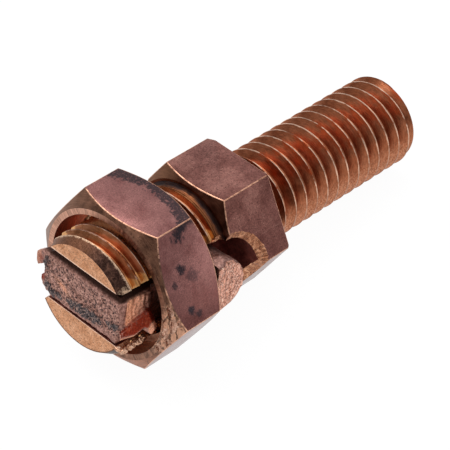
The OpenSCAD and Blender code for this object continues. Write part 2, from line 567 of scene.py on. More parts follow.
@dataclass(frozen=True)
class CopperFinish:
    """A copper surface: its tones, how cloudy and flecked they are, and its roughness.

    Copper darkens from pink through mauve and brown to slate as its oxide grows, so each
    finish has a deep, a usual and a light tone that drift into each other.
    """

    name: str
    deep: str
    usual: str
    light: str
    cloud_mm: float = 2.0
    # Real tool marks and grit are finer than a pixel, which is about 0.1 mm wide here, so flecks
    # and specks are drawn as coarse as they need to be to show.
    fleck_mm: float = 0.3
    fleck: float = 0.25
    rough: Pair = (0.4, 0.55)
    relief_mm: float = 0.006
    grain: Grain = Grain.EVEN
    speck: str | None = None
    speck_mm: float = 0.19
    speck_level: float = 0.41

    def make(self) -> Material:
        """Builds the material.

        Returns:
            The node material.
        """
        material = bpy.data.materials.new(self.name)
        material.use_nodes = True
        tree = material.node_tree
        tree.nodes.clear()
        point = add_node(tree, "ShaderNodeTexCoord").outputs["Object"]
        cloud = add_node(tree, "ShaderNodeTexNoise", {
            "Vector": point, "Scale": 1 / (self.cloud_mm * MM), "Detail": 4.0, "Roughness": 0.6,
            "Distortion": 0.4,
        }).outputs["Fac"]
        fleck = add_node(tree, "ShaderNodeTexNoise", {
            "Vector": self.mark_space(tree, point), "Scale": 1 / (self.fleck_mm * MM), "Detail": 3.0,
            "Roughness": 0.65,
        }).outputs["Fac"]
        tones = add_node(tree, "ShaderNodeValToRGB", {"Fac": cloud})
        fill_ramp(tones, ((0.34, self.deep), (0.5, self.usual), (0.66, self.light)))
        usual_range = {"From Min": 0.3, "From Max": 0.7}
        shade = add_node(tree, "ShaderNodeMapRange", {
            "Value": fleck, **usual_range, "To Min": 1 - self.fleck, "To Max": 1 + self.fleck,
        }).outputs["Result"]
        rough = add_node(tree, "ShaderNodeMapRange", {
            "Value": cloud, **usual_range, "To Min": self.rough[0], "To Max": self.rough[1],
        }).outputs["Result"]
        coat = Coat(tree, point, tones.outputs["Color"], rough, fleck)
        if self.speck:
            grit = coat.marks(self.speck_mm, 2.0)
            coat.cover(coat.mask(grit, self.speck_level, self.speck_level - 0.06, 0.85), self.speck)
        self.weather(coat)
        links = {0: coat.colour, "Scale": shade}
        flecked = add_node(tree, "ShaderNodeVectorMath", links, operation="SCALE")
        bump = add_node(tree, "ShaderNodeBump", {
            "Height": coat.height, "Distance": self.relief_mm * MM, "Strength": 1.0,
        })
        shader = add_node(tree, "ShaderNodeBsdfPrincipled", {
            "Base Color": flecked.outputs["Vector"], "Roughness": coat.rough, "Metallic": 1.0,
            "Normal": bump.outputs["Normal"],
        })
        add_node(tree, "ShaderNodeOutputMaterial", {"Surface": shader.outputs["BSDF"]})
        return material

    def mark_space(self, tree: Tree, point: Socket) -> Socket:
        """Stretches space along the tool's marks.

        Args:
            tree: Node tree of the material.
            point: Place on the object.

        Returns:
            The place to read fine marks at.
        """
        if self.grain is Grain.EVEN:
            return point
        if self.grain is Grain.SAWN:
            return add_node(tree, "ShaderNodeMapping", {
                "Vector": point, "Rotation": (0.0, math.radians(35), 0.0), "Scale": (1.0, 0.5, 0.12),
            }).outputs["Vector"]
        parts = add_node(tree, "ShaderNodeSeparateXYZ", {"Vector": point}).outputs
        flat = add_node(tree, "ShaderNodeVectorMath", {0: point, 1: (0, 1, 1)}, operation="MULTIPLY")
        radius = add_node(tree, "ShaderNodeVectorMath", {0: flat.outputs["Vector"]}, operation="LENGTH")
        turn = add_node(tree, "ShaderNodeMath", {0: parts["Z"], 1: parts["Y"]}, operation="ARCTAN2")
        round_mm, depth_share = (0.8, 1.0) if self.grain is Grain.TURNED else (8.0, 0.15)
        links = {0: turn.outputs[0], 1: round_mm * MM}
        swing = add_node(tree, "ShaderNodeMath", links, operation="MULTIPLY")
        links = {0: radius.outputs["Value"], 1: depth_share}
        depth = add_node(tree, "ShaderNodeMath", links, operation="MULTIPLY")
        return add_node(tree, "ShaderNodeCombineXYZ", {
            "X": parts["X"], "Y": depth.outputs[0], "Z": swing.outputs[0],
        }).outputs["Vector"]

    def weather(self, coat: Coat) -> None:
        """Lays stains and wear over the plain surface; the plain finish has none.

        Args:
            coat: Surface to weather.
        """


def fill_ramp(ramp: bpy.types.Node, stops: tuple[tuple[float, str], ...]) -> None:
    """Sets the stops of a colour ramp.

    Args:
        ramp: Colour ramp node.
        stops: Pairs of a place and a hex colour.
    """
    bands = ramp.color_ramp.elements
    while len(bands) < len(stops):
        bands.new(0.5)
    for band, (place, code) in zip(bands, stops):
        band.position = place
        band.color = srgb(code)


@dataclass(frozen=True)
class StainedFlat(CopperFinish):
    """A milled flat under a mauve oxide, scratched, with slate stains at one edge and in spots, and painted
    shade that darkens it towards the bottom.
    """

    slate: str = "#40363a"
    scratch: str = "#b98a7c"
    spots: tuple[Spot, ...] = ()
    band_x: float | None = None
    band_z: float = 0.0
    band_fray_mm: float = 3.4
    band_bow: float = 0.075
    # Colour of the painted shade that darkens the flat towards the bottom.
    shade: str = "#6a3f3a"
    painted_shade_mm: Pair = (5.5, 0.5)
    scratch_mm: float = 0.16
    scratch_ways: tuple[Point, Point] = ((1.0, 14.0, 9.0), (10.0, 1.0, 1.2))

    def weather(self, coat: Coat) -> None:
        """Lays scratches, painted shade towards the bottom, spots and the stained edge.

        Args:
            coat: Surface to weather.
        """
        for way in self.scratch_ways:
            hair = coat.marks(self.scratch_mm, 2.0, way)
            coat.cover(coat.mask(hair, 0.62, 0.78, 0.55), self.scratch)
        # Painted shade: the flat darkens towards the bottom.
        high, low = (place * MM for place in self.painted_shade_mm)
        coat.cover(coat.mask(coat.along((0, 0, 1)), high, low, 0.6), self.shade)
        ragged = coat.marks(0.5, 8.0)
        mottle = coat.mask(coat.marks(0.15, 2.0), 0.26, 0.46)
        for spot in self.spots:
            coat.cover(coat.both(coat.patch(spot, ragged), mottle), self.slate)
        if self.band_x is None:
            return
        across = coat.along((0, 1, 0))
        reach = coat.shift(ragged, self.band_fray_mm * MM, coat.along((1, 0, 0)))
        reach = coat.shift(coat.both(across, across), self.band_bow / MM, reach)
        edge = coat.mask(reach, (self.band_x + 1.45) * MM, (self.band_x + 1.85) * MM, 0.9)
        above = coat.mask(coat.along((0, 0, 1)), (self.band_z - 0.6) * MM, self.band_z * MM)
        coat.cover(coat.both(coat.both(edge, above), mottle), self.slate)


@dataclass(frozen=True)
class WornEdge(CopperFinish):
    """An edge rubbed bare of its oxide, bright where the rubbing reached and dull where it did not."""

    bare_and_lit: str = "#dfa98c"
    bare_levels: Pair = (0.4, 0.55)
    dull: str = "#4c382e"
    dull_spots: tuple[Spot, ...] = ()

    def weather(self, coat: Coat) -> None:
        """Rubs the edge bare in patches.

        Args:
            coat: Surface to weather.
        """
        patch = coat.marks(0.5, 5.0)
        coat.cover(coat.mask(patch, *self.bare_levels), self.bare_and_lit)
        for spot in self.dull_spots:
            coat.cover(coat.patch(spot, patch), self.dull)


@dataclass(frozen=True)
class RubbedRim(CopperFinish):
    """A turned chamfer, dull but for its worn rim, and painted lighter on one side as light falling from
    there.
    """

    rim: str = "#e0bb9c"
    rim_r: float = 6.12
    # Colour of the side painted lighter as light falling from there.
    side: str = "#8a5c42"
    lit_side_mm: Pair = (1.2, 6.5)
    worn: Spot = Spot((-19.8, -5.0, 3.45), 0.75, 0.9)

    def weather(self, coat: Coat) -> None:
        """Brightens the worn rim, and paints one side lighter as light falling from there.

        Args:
            coat: Surface to weather.
        """
        # Painted light: lighter towards +Y and up, the side the light falls from.
        reach = coat.shift(coat.marks(0.9), 3.0 * MM, coat.along((0.0, 1.0, 0.3)))
        low, high = (place * MM for place in self.lit_side_mm)
        coat.cover(coat.mask(reach, low, high, 0.75), self.side)
        ragged = coat.shift(coat.marks(0.35, 4.0), 0.45 * MM, coat.axis_distance())
        coat.cover(coat.mask(ragged, (self.rim_r + 0.22) * MM, (self.rim_r + 0.34) * MM, 0.9), self.rim)
        coat.cover(coat.patch(self.worn, coat.marks(0.3, 4.0)), self.rim)


@dataclass(frozen=True)
class SideLitFlakedFace(CopperFinish):
    """A turned face painted in another tone towards one side, as light falling from there, and flaked raw
    in places.
    """

    # Tone painted on the side the light falls from.
    bare_and_lit: str = "#d3a488"
    way: Point = (0.0, 1.0, 0.0)
    lit_from_mm: float = -1.0
    lit_to_mm: float = 7.0
    raw: str = "#c6957a"
    crack: str = "#4a3428"
    under: str | None = None
    flaked: tuple[Spot, ...] = ()
    flake_mm: float = 0.75
    swirl_mm: float = 0.35
    crack_depth: float = -6.0

    def weather(self, coat: Coat) -> None:
        """Paints one side in the tone of light falling from there, and flakes the patches.

        Args:
            coat: Surface to weather.
        """
        # Painted light: the tone grows towards the side the light falls from.
        reach = coat.shift(coat.marks(1.6), 3.0 * MM, coat.along(self.way))
        coat.cover(coat.mask(reach, (self.lit_from_mm + 1.5) * MM, (self.lit_to_mm + 1.5) * MM), self.bare_and_lit)
        if self.under is not None:
            down = coat.along((0, 0, -1))
            coat.cover(coat.mask(down, 3.0 * MM, 7.0 * MM, 0.75), self.under)
            hair = coat.mask(coat.marks(0.3, 4.0, (5.0, 1.0, 3.0)), 0.56, 0.66, 0.6)
            coat.cover(coat.both(hair, coat.mask(down, 2.0 * MM, 6.0 * MM)), self.crack)
        if self.flaked:
            self.flake(coat)

    def flake(self, coat: Coat) -> None:
        """Breaks the patches into raw flakes with dark cracks between them.

        Args:
            coat: Surface to weather.
        """
        ragged = coat.marks(0.7, 5.0)
        links = {0: coat.point, 1: (1.0, 1.0, 0.45)}
        stretched = add_node(coat.tree, "ShaderNodeVectorMath", links, operation="MULTIPLY")
        drift = add_node(coat.tree, "ShaderNodeTexNoise", {"Vector": coat.point, "Scale": 1 / (0.5 * MM)})
        swirl = add_node(coat.tree, "ShaderNodeVectorMath", {
            0: drift.outputs["Color"], 1: Vector((self.swirl_mm,) * 3) * MM, 2: stretched.outputs["Vector"],
        }, operation="MULTIPLY_ADD")
        flakes = add_node(coat.tree, "ShaderNodeTexVoronoi", {
            "Vector": swirl.outputs["Vector"], "Scale": 1 / (self.flake_mm * MM),
        }, feature="DISTANCE_TO_EDGE")
        seam = coat.mask(flakes.outputs["Distance"], 0.1, 0.02, 0.85)
        for spot in self.flaked:
            mask = coat.patch(spot, ragged)
            coat.cover(mask, self.raw)
            cracks = coat.both(mask, seam)
            coat.cover(cracks, self.crack)
            coat.height = coat.shift(cracks, self.crack_depth, coat.height)


@dataclass(frozen=True)
class OxideShadedNeck(CopperFinish):
    """A turned neck, black in its deepest part at the collar: old oxide, with painted shade in the fillet.
    """

    oxide_and_shade: str = "#332c2f"
    oxide_and_shade_x: float = -6.95
    oxide_and_shade_mm: float = 0.42
    ring_mm: float = 0.16
    ring_top: str = "#965a36"
    ring_root: str = "#38200f"

    def weather(self, coat: Coat) -> None:
        """Draws the tool's rings, and paints the neck black near the collar as oxide and shade.

        Args:
            coat: Surface to weather.
        """
        ring = coat.shift(coat.axis_distance(), 1.0, coat.along((1, 0, 0)))
        rings = add_node(coat.tree, "ShaderNodeTexNoise", {
            "W": ring, "Scale": 1 / (self.ring_mm * MM), "Detail": 2.0,
        }, noise_dimensions="1D").outputs["Fac"]
        coat.cover(coat.mask(rings, 0.5, 0.6, 0.75), self.ring_top)
        coat.cover(coat.mask(rings, 0.44, 0.36, 0.75), self.ring_root)
        # Painted shade in the fillet at the collar, over old oxide: a dark band.
        ragged = coat.shift(coat.marks(2.2), 0.9 * MM, coat.off_plane((1, 0, 0), self.oxide_and_shade_x))
        coat.cover(coat.mask(ragged, (self.oxide_and_shade_mm + 0.55) * MM, (self.oxide_and_shade_mm + 0.1) * MM, 0.9), self.oxide_and_shade)


@dataclass(frozen=True)
class ThreadCopper(CopperFinish):
    """A cut thread: brown flanks with a painted red glow of light bounced between them, a lighter painted
    floor reflection below, and crests rubbed to a pink line painted bright on the upper side.

    Levels are heights over the axis, as shares of the crests' radius.
    """

    crest_r: float = 5.0
    crest: str = "#e8bfa6"
    # Heights where the crest line turns from dull to bright: a painted highlight on the upper side.
    lit_crest_levels: Pair = (-0.5, 0.75)
    dull: str = "#8a5236"
    edge: str = "#d39a63"
    # Lighter grain, painted on the lower side as reflection of the floor.
    grain_and_floor_sheen: str = "#c88c6c"
    speckle_mm: float = 0.16
    floor_sheen_levels: Pair = (0.4, -0.3)
    # Painted glow of light bounced between the flanks.
    bounce_glow: str = "#b4441c"
    bounce_glow_share: float = 0.62
    bounce_glow_levels: Pair = (1.05, 1.17)
    bounce_glow_way: Point = (0.0, -0.43, 0.9)
    slot_z: Pair | None = None

    def weather(self, coat: Coat) -> None:
        """Paints the glow between the flanks and the floor reflection below, brightens the crests on their
        upper side, and brightens the slot's edges.

        Args:
            coat: Surface to weather.
        """
        radius = self.crest_r * MM
        patch = coat.marks(1.1, 4.0)
        worn = coat.shift(patch, 0.24 * MM, coat.axis_distance())
        line = coat.mask(worn, radius + 0.07 * MM, radius + 0.12 * MM)
        # Height up the thread: worn crests are painted bright only on the upper side, as a highlight.
        height = coat.shift(coat.marks(1.5), 3.0 * MM, coat.along((0.0, 0.25, 1.0)))
        upper = coat.mask(height, *(level * radius for level in self.lit_crest_levels))
        # Painted floor reflection: lighter grain on the lower side only.
        lower = coat.mask(height, *(level * radius for level in self.floor_sheen_levels))
        grain = coat.mask(coat.marks(self.speckle_mm, 3.0), 0.36, 0.6, 0.8)
        coat.cover(coat.both(lower, grain), self.grain_and_floor_sheen)
        # Painted red glow on the flanks, where light bounces between them.
        warm = coat.shift(coat.marks(1.9, 2.0), 0.4 * radius, coat.along(self.bounce_glow_way))
        low, high = (level * radius for level in self.bounce_glow_levels)
        coat.cover(coat.mask(warm, low, high, self.bounce_glow_share), self.bounce_glow)
        coat.cover(line, self.dull)
        coat.cover(coat.both(line, upper), self.crest)
        if self.slot_z is None:
            return
        middle, half = self.slot_z
        ragged = coat.shift(patch, -0.9 * MM, coat.off_plane((0, 0, 1), middle))
        coat.cover(coat.mask(ragged, (half - 0.12) * MM, (half - 0.32) * MM), self.edge)


@dataclass(frozen=True)
class BurredEnd(CopperFinish):
    """A sawn end whose edge along the slot carries a thin bright burr, painted brighter as a highlight
    where the edge catches the light.
    """

    burr: str = "#f4d0b8"
    slot_z: Pair = (0.25, 3.125)
    rim: str = "#5c3c2e"
    rim_at: Spot = Spot((-20.5, 0.31, -0.1), 5.7)
    rim_mm: float = 0.06

    def weather(self, coat: Coat) -> None:
        """Brightens the burr with a painted highlight, and darkens the rim.

        Args:
            coat: Surface to weather.
        """
        middle, half = self.slot_z
        # Painted highlight along the slot's edge, over a thin burr.
        ragged = coat.shift(coat.marks(0.7), 0.12 * MM, coat.off_plane((0, 0, 1), middle))
        coat.cover(coat.mask(ragged, (half + 0.2) * MM, (half + 0.14) * MM, 0.8), self.burr)
        edge, rim_r = coat.distance(self.rim_at.centre), self.rim_at.radius
        coat.cover(coat.mask(edge, (rim_r - self.rim_mm) * MM, rim_r * MM, 0.8), self.rim)


@dataclass(frozen=True)
class StruckCopper(CopperFinish):
    """A sheared bar end: pits hold slate oxide, and the chisel left raw and red faces.

    The shares of pitted, slate, raw, red and gap shade in copper are painted on the mesh; the gap shade is
    painted shade under the upper leg, and part of the slate share is painted shade on the pad's top.
    """

    pit: str = "#2a2021"
    pit_mm: float = 0.2
    pit_depth: float = -3.0
    grit: str = "#d6aa98"
    slate: str = "#544a4b"
    raw: str = "#ffbc98"
    raw_rough: float = 0.2
    red: str = "#86301f"
    glow: str = "#b0543a"
    # Painted shade in the gap under the upper leg.
    gap_shade: str = "#3a2620"

    def weather(self, coat: Coat) -> None:
        """Lays what was painted on the mesh.

        Args:
            coat: Surface to weather.
        """
        share = {
            name: add_node(coat.tree, "ShaderNodeAttribute", attribute_name=name).outputs["Fac"]
            for name in ("pitted", "slate", "raw", "red", "gap_shade")
        }
        streak = coat.marks(0.25, 3.0, (1.0, 1.0, 7.0))
        # Painted shade along the bar's top edge, under the upper leg.
        coat.cover(share["gap_shade"], self.gap_shade)
        mottle = coat.mask(coat.marks(0.4, 5.0), 0.22, 0.44)
        coat.cover(coat.both(share["slate"], mottle), self.slate)
        coat.cover(coat.both(share["raw"], coat.mask(streak, 0.22, 0.48)), self.raw)
        coat.cover(coat.both(share["red"], coat.mask(streak, 0.2, 0.45)), self.red)
        warm = coat.mask(coat.marks(0.45, 3.0), 0.5, 0.68, 0.7)
        coat.cover(coat.both(share["red"], warm), self.glow)
        speck = coat.marks(self.pit_mm, 3.0)
        hole = coat.both(coat.mask(speck, 0.47, 0.39, 0.92), share["pitted"])
        bright = coat.both(coat.mask(speck, 0.54, 0.66, 0.8), share["pitted"])
        coat.cover(hole, self.pit)
        coat.cover(bright, self.grit)
        coat.height = coat.shift(hole, self.pit_depth, coat.height)
        coat.rough = coat.shift(share["raw"], self.raw_rough, coat.rough)


class Finishes:
    """Every finish of the connector, made once.

    The whole object is one copper alloy. What differs is how each face was cut and how long
    its oxide has grown: dull mauve on the hex flats, brown on the turned chamfers, orange in
    the threads, tan on the sawn ends and bright pink where tools and hands have rubbed it.
    Some tones are painted light and shade: lighter sides, highlights, glows and dark bands.
    """

    def __init__(self) -> None:
        """Builds the materials."""
        flaked = (
            Spot((-17.1, -8.4, 1.0), 1.5), Spot((-17.1, -8.5, -0.9), 1.6),
            Spot((-17.2, -7.6, -2.6), 1.2, 0.9),
        )
        # Milled, then long oxidised: a dull mauve sheen with hair scratches and slate stains.
        self.nut_flat = StainedFlat(
            "copper_milled_mauve", "#8e5b57", "#a06d68", "#ad7872", cloud_mm=2.5, fleck_mm=0.13, fleck=0.34,
            rough=(0.2, 0.3), band_x=-11.9, band_z=8.2, scratch="#b58479",
            spots=(
                Spot((-14.1, -5.2, 7.6), 0.75), Spot((-13.3, -5.0, 8.0), 0.55),
                Spot((-14.93, -6.77, 4.97), 0.6), Spot((-13.8, -7.33, 4.0), 0.7, 0.6),
                Spot((-16.15, -7.35, 3.97), 0.42, 0.8), Spot((-15.05, -8.85, 1.37), 0.5),
                Spot((-14.3, -9.17, 0.82), 0.4, 0.8),
            ),
        ).make()
        # The same milling with a thicker oxide: browner, and peppered with dark grit.
        self.collar_flat = StainedFlat(
            "copper_milled_brown", "#7e5048", "#96645b", "#a9766b", cloud_mm=2.4, fleck_mm=0.13, fleck=0.4,
            rough=(0.2, 0.32), speck="#6a423c", scratch="#bd8f80",
        ).make()
        # Turned chamfer: brown rings, painted lighter on the far side as lit from there, orange and cracked
        # below.
        self.nut_chamfer = SideLitFlakedFace(
            "copper_turned_chamfer", "#553a2e", "#73503f", "#8c6450", cloud_mm=1.2, fleck_mm=0.12,
            fleck=0.3, rough=(0.36, 0.5), grain=Grain.TURNED, relief_mm=0.02, speck="#453028",
            bare_and_lit="#88624e", way=(0.0, 1.0, 0.25), lit_from_mm=2.5, lit_to_mm=9.5, under="#b06a44", flaked=flaked,
        ).make()
        # Turned and hardly handled: a deep brown with fine rings, painted lighter on the far side as lit
        # from there.
        self.collar_chamfer = SideLitFlakedFace(
            "copper_turned_brown", "#40271f", "#56352a", "#6a4536", cloud_mm=1.4, fleck_mm=0.12, fleck=0.25,
            rough=(0.32, 0.46), grain=Grain.TURNED, bare_and_lit="#7d5640", lit_from_mm=0.5, lit_to_mm=3.5,
        ).make()
        # Corners that hands and spanners have rubbed: a broken line of bright pink.
        self.edge = WornEdge(
            "copper_rubbed_edge", "#8a5f50", "#b07e66", "#cc9a7e", cloud_mm=0.8, fleck_mm=0.12, fleck=0.35,
            rough=(0.3, 0.42),
            dull_spots=(Spot((-16.7, -6.6, 5.2), 2.2, 0.85), Spot((-17.0, -8.4, 2.0), 1.6, 0.7)),
        ).make()
        # Faced end of the nut: marks run outwards, flakes show raw pink at the near side, and the far upper
        # side is painted lighter as lit from there.
        self.ring = SideLitFlakedFace(
            "copper_faced_ring", "#6a4a3a", "#86604e", "#a07660", cloud_mm=0.8, fleck_mm=0.2, fleck=0.45,
            rough=(0.34, 0.46), grain=Grain.RADIAL, relief_mm=0.02, speck="#70503f", bare_and_lit="#c0907a",
            way=(0.0, 1.0, 0.3), lit_from_mm=-1.0, lit_to_mm=5.5, flaked=flaked,
        ).make()
        # Bored wall, sheltered from wear: clean light copper that glows inside the nut, with another tone
        # painted on the far side as light falling there.
        self.counterbore = SideLitFlakedFace(
            "copper_bored_wall", "#b48064", "#d29c80", "#e4b698", cloud_mm=1.5, fleck_mm=0.15,
            rough=(0.4, 0.55), grain=Grain.TURNED, bare_and_lit="#c87a5c", lit_from_mm=0.0, lit_to_mm=4.0,
        ).make()
        # Cut thread: orange-brown flanks, with a line along each worn crest, painted bright on its upper
        # side as a highlight.
        self.stud_thread = ThreadCopper(
            "copper_stud_thread", "#8f4f34", "#995a3d", "#a46447", cloud_mm=1.6, fleck_mm=0.11, fleck=0.34,
            rough=(0.28, 0.33), grain=Grain.TURNED, crest_r=STUD_R, crest="#e6bca2",
        ).make()
        # Faced end of the stud: a flat, pale and even tan.
        self.stud_end = CopperFinish(
            "copper_faced_end", "#d09a74", "#dca682", "#e6b492", cloud_mm=2.5, fleck_mm=0.2, fleck=0.3,
            rough=(0.5, 0.6), relief_mm=0.0005, grain=Grain.TURNED,
        ).make()
        # The post's thread, more oxidised than the stud's: browner, with less of the painted red glow.
        self.post_thread = ThreadCopper(
            "copper_post_thread", "#84502f", "#98603f", "#a87050", cloud_mm=1.4, fleck_mm=0.12, fleck=0.28,
            rough=(0.22, 0.34), grain=Grain.TURNED, crest_r=6.35, slot_z=(0.25, 3.85), bounce_glow_share=0.22,
        ).make()
        # Turned neck: coarse brown rings, and a black band at the collar, of old oxide and painted shade in
        # the fillet.
        self.neck = OxideShadedNeck(
            "copper_turned_neck", "#593420", "#76472c", "#8e593a", cloud_mm=1.1, fleck_mm=0.16, fleck=0.5,
            rough=(0.46, 0.58), grain=Grain.TURNED,
        ).make()
        # Sawn end of the post: gritty pale tan, with a bright burr along the slot, painted as a highlight.
        self.sawn_end = BurredEnd(
            "copper_sawn_end", "#be845e", "#d29a74", "#e0ac88", cloud_mm=0.9, fleck_mm=0.14, fleck=0.4,
            rough=(0.42, 0.55), relief_mm=0.02, speck="#80583f",
        ).make()
        # Chamfer round the sawn end: almost black, so the bright rim stands out; one side is painted
        # lighter as lit from there.
        self.post_chamfer = RubbedRim(
            "copper_turned_post_end", "#2c1d17", "#47312a", "#68493c", cloud_mm=0.6, fleck_mm=0.11,
            fleck=0.5, rough=(0.35, 0.5), relief_mm=0.02, speck="#1e1512",
        ).make()
        # Wall of the slot, shut in and oxidised: a plain dull red-brown.
        self.slot_wall = CopperFinish(
            "copper_slot_oxide", "#96564e", "#aa665c", "#bc766a", cloud_mm=2.0, rough=(0.45, 0.6),
        ).make()
        # Cut edges of the slot: coarse raw copper that sparkles between dark grit.
        self.raw_cut = CopperFinish(
            "copper_raw_cut", "#84543e", "#ac7456", "#d8a482", cloud_mm=0.4, fleck_mm=0.11, fleck=0.5,
            rough=(0.35, 0.5), relief_mm=0.03, speck="#5c3a2c",
        ).make()
        # Hollows where the chamfer flaked: pale pink copper without its skin.
        self.flaked_skin = CopperFinish(
            "copper_flaked_skin", "#a07460", "#c89c86", "#e4c0aa", cloud_mm=0.4, fleck_mm=0.11, fleck=0.45,
            rough=(0.35, 0.5), relief_mm=0.03,
        ).make()
        # Crumbs torn out by the saw: the palest copper, which catches the light.
        self.torn_crumb = CopperFinish(
            "copper_torn_crumb", "#c09072", "#deb092", "#f0ccb2", cloud_mm=0.5, fleck_mm=0.14, fleck=0.25,
            rough=(0.35, 0.5), relief_mm=0.02,
        ).make()
        # Sheared and hammered bar: pitted brown, slate in the pits, raw where it was struck, and painted
        # shade under the leg and on the pad's top.
        self.struck = StruckCopper(
            "copper_struck_bar", "#765249", "#9e7265", "#c4968a", cloud_mm=0.35, fleck_mm=0.12, fleck=0.45,
            rough=(0.4, 0.55), relief_mm=0.02,
        ).make()
        # Sheared end of the pad: bright slanted score marks between dark grit.
        self.pad_end = CopperFinish(
            "copper_sheared_pad", "#aa7460", "#d69c86", "#f4c6b2", cloud_mm=0.3, fleck_mm=0.13, fleck=0.7,
            rough=(0.35, 0.5), relief_mm=0.03, grain=Grain.SAWN, speck="#6a4236", speck_mm=0.17,
            speck_level=0.45,
        ).make()


@dataclass(frozen=True)
class ThreadForm:
    """A sixty degree screw thread about X."""

    major_r: float
    pitch: float
    crest_x: float
    nick_seed: float
    depth_share: float = 0.58
    crest_share: float = 0.1
    root_share: float = 0.16
    burr: float = 0.03
    ease_share: float = 0.06
    crest_ease: float = 1.6

    @property
    def depth(self) -> float:
        """Depth of the thread in millimetres."""
        return self.depth_share * self.pitch

    def one_turn(self, start: float) -> list[Pair]:
        """Gives the profile of one turn, from root to root.

        Args:
            start: Place of the crest along X.

        Returns:
            Pairs of a place along X and a radius.
        """
        half, crest, root = (share * self.pitch / 2 for share in (1.0, self.crest_share, self.root_share))
        low, eased = self.major_r - self.depth, self.depth * self.ease_share
        rise = [
            (-half, low), (-half + root, low + eased),
            (-crest * self.crest_ease, self.major_r - eased), (-crest, self.major_r),
        ]
        fall = [(-x, r) for x, r in reversed(rise)]
        return [(start + x, r) for x, r in rise + fall]

    def solid(self, name: str, x0: float, x1: float) -> Piece:
        """Makes the thread as a closed solid that reaches past both given ends.

        Args:
            name: Name of the new object.
            x0: Lower end along X.
            x1: Upper end along X.

        Returns:
            The closed mesh object.
        """
        first = self.crest_x + self.pitch * (math.floor((x0 - self.crest_x) / self.pitch) - 2)
        turns = math.ceil((x1 - first) / self.pitch) + 2
        piece = draw_outline(name, [(x, 0.0, r) for x, r in self.one_turn(first)], closed=False)
        apply_modifier(
            piece, "SCREW", axis="X", angle=math.tau, steps=THREAD_STEPS, render_steps=THREAD_STEPS,
            iterations=turns, screw_offset=self.pitch, use_merge_vertices=True, merge_threshold=MERGE_MM,
        )
        self.roughen(piece)
        with editing(piece):
            bpy.ops.mesh.remove_doubles(threshold=MERGE_MM)
            bpy.ops.mesh.fill_holes(sides=0)
            bpy.ops.mesh.select_all(action="SELECT")
            bpy.ops.mesh.normals_make_consistent(inside=False)
        return piece

    def roughen(self, piece: Piece) -> None:
        """Dents the crests a little, as handling does.

        Args:
            piece: Thread mesh.
        """
        places = coordinates(piece)
        radius = np.hypot(places[:, 1], places[:, 2])
        coarse, fine, sideways = 0.9, 3.1, 1.9
        calm, nick, grain = 0.15, 2.2, 0.3
        for i in np.nonzero(radius > self.major_r - 0.2 * self.depth)[0]:
            spot = Vector(places[i]) * coarse + Vector((self.nick_seed, 0, 0))
            dent = max(0.0, noise.noise(spot) - calm) * nick + grain * abs(noise.noise(spot * fine))
            places[i, 1:] *= 1 - self.burr * dent / radius[i]
            places[i, 0] += self.burr * noise.noise(spot * sideways)
        move_vertices(piece, places)


@dataclass(frozen=True)
class HexBlank:
    """Hexagonal bar along X with flats at top and bottom, chamfered and worn at its edges."""

    across: float
    front: float
    rear: float
    face_inset: float
    chamfer_angle: float
    both_ends: bool
    rear_corner: float = 0.15
    worn_at: float | None = None
    edge_break: float = 0.075
    wear: float = 0.03
    wear_deg: float = 16.0

    def make(self, flat: Material, chamfer: Material, face: Material, edge: Material) -> Piece:
        """Makes the blank.

        Args:
            flat: Finish of the six flats.
            chamfer: Finish of the chamfer.
            face: Finish of the end faces.
            edge: Finish of the worn edges.

        Returns:
            The closed mesh object.
        """
        past = 0.2
        length = self.rear - self.front + 2 * past
        bpy.ops.object.select_all(action="DESELECT")
        bpy.ops.mesh.primitive_cylinder_add(
            vertices=6, radius=self.across / math.sqrt(3), depth=length,
            location=((self.front + self.rear) / 2, 0, 0), rotation=(0, math.pi / 2, 0),
        )
        piece = bpy.context.object
        bpy.ops.object.transform_apply(location=True, rotation=True, scale=True)
        paint(piece, flat)
        face_r = self.across / 2 - self.face_inset
        corner_r = self.across / math.sqrt(3) + 0.5
        rise = (corner_r - face_r) * math.tan(math.radians(self.chamfer_angle))
        eased_r = self.across / math.sqrt(3) - self.rear_corner
        tail = [(self.rear - 1.0, corner_r), (self.rear, eased_r)]
        if self.both_ends:
            tail = [(self.rear - rise, corner_r), (self.rear, face_r)]
        envelope = turned("hex_envelope", [
            (self.front, 0), (self.front, face_r), (self.front + rise, corner_r), *tail, (self.rear, 0),
        ])
        if self.worn_at is not None:
            places = coordinates(envelope)
            turn = np.degrees(np.arctan2(places[:, 2], places[:, 1])) - self.worn_at
            near = np.clip(1 - (turn / self.wear_deg) ** 2, 0, 1) * (places[:, 0] > self.rear - MERGE_MM)
            keep = 1 - self.wear * near
            places[:, 1:] *= keep[:, None]
            move_vertices(envelope, places)
        paint(envelope, chamfer)
        paint(envelope, face, lambda middle, normal: abs(normal.x) > SQUARE_ON)
        combine(piece, envelope, Blend.COMMON)
        with editing(piece):
            bpy.ops.mesh.remove_doubles(threshold=SLIVER_MM)
        piece.data.materials.append(edge)
        apply_modifier(
            piece, "BEVEL", width=self.edge_break, segments=2, use_clamp_overlap=False,
            limit_method="ANGLE", angle_limit=math.radians(45),
            material=piece.data.materials.find(edge.name),
        )
        return piece


class Part:
    """One piece of the connector, which replaces a solid of the frame."""

    node: str
    body: str
    slot: str

    def build(self, finishes: Finishes) -> Piece:
        """Models the piece in millimetres.

        Args:
            finishes: Every finish.

        Returns:
            The mesh object.
        """
        raise NotImplementedError

    def place(self, finishes: Finishes) -> Piece:
        """Builds the piece, brings it to metres and ties it to the frame.

        Args:
            finishes: Every finish.

        Returns:
            The finished object.
        """
        piece = self.build(finishes)
        piece.name = piece.data.name = f"{self.node}_dressed"
        to_metres(piece)
        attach(piece, self.body)
        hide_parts(self.node)
        return piece


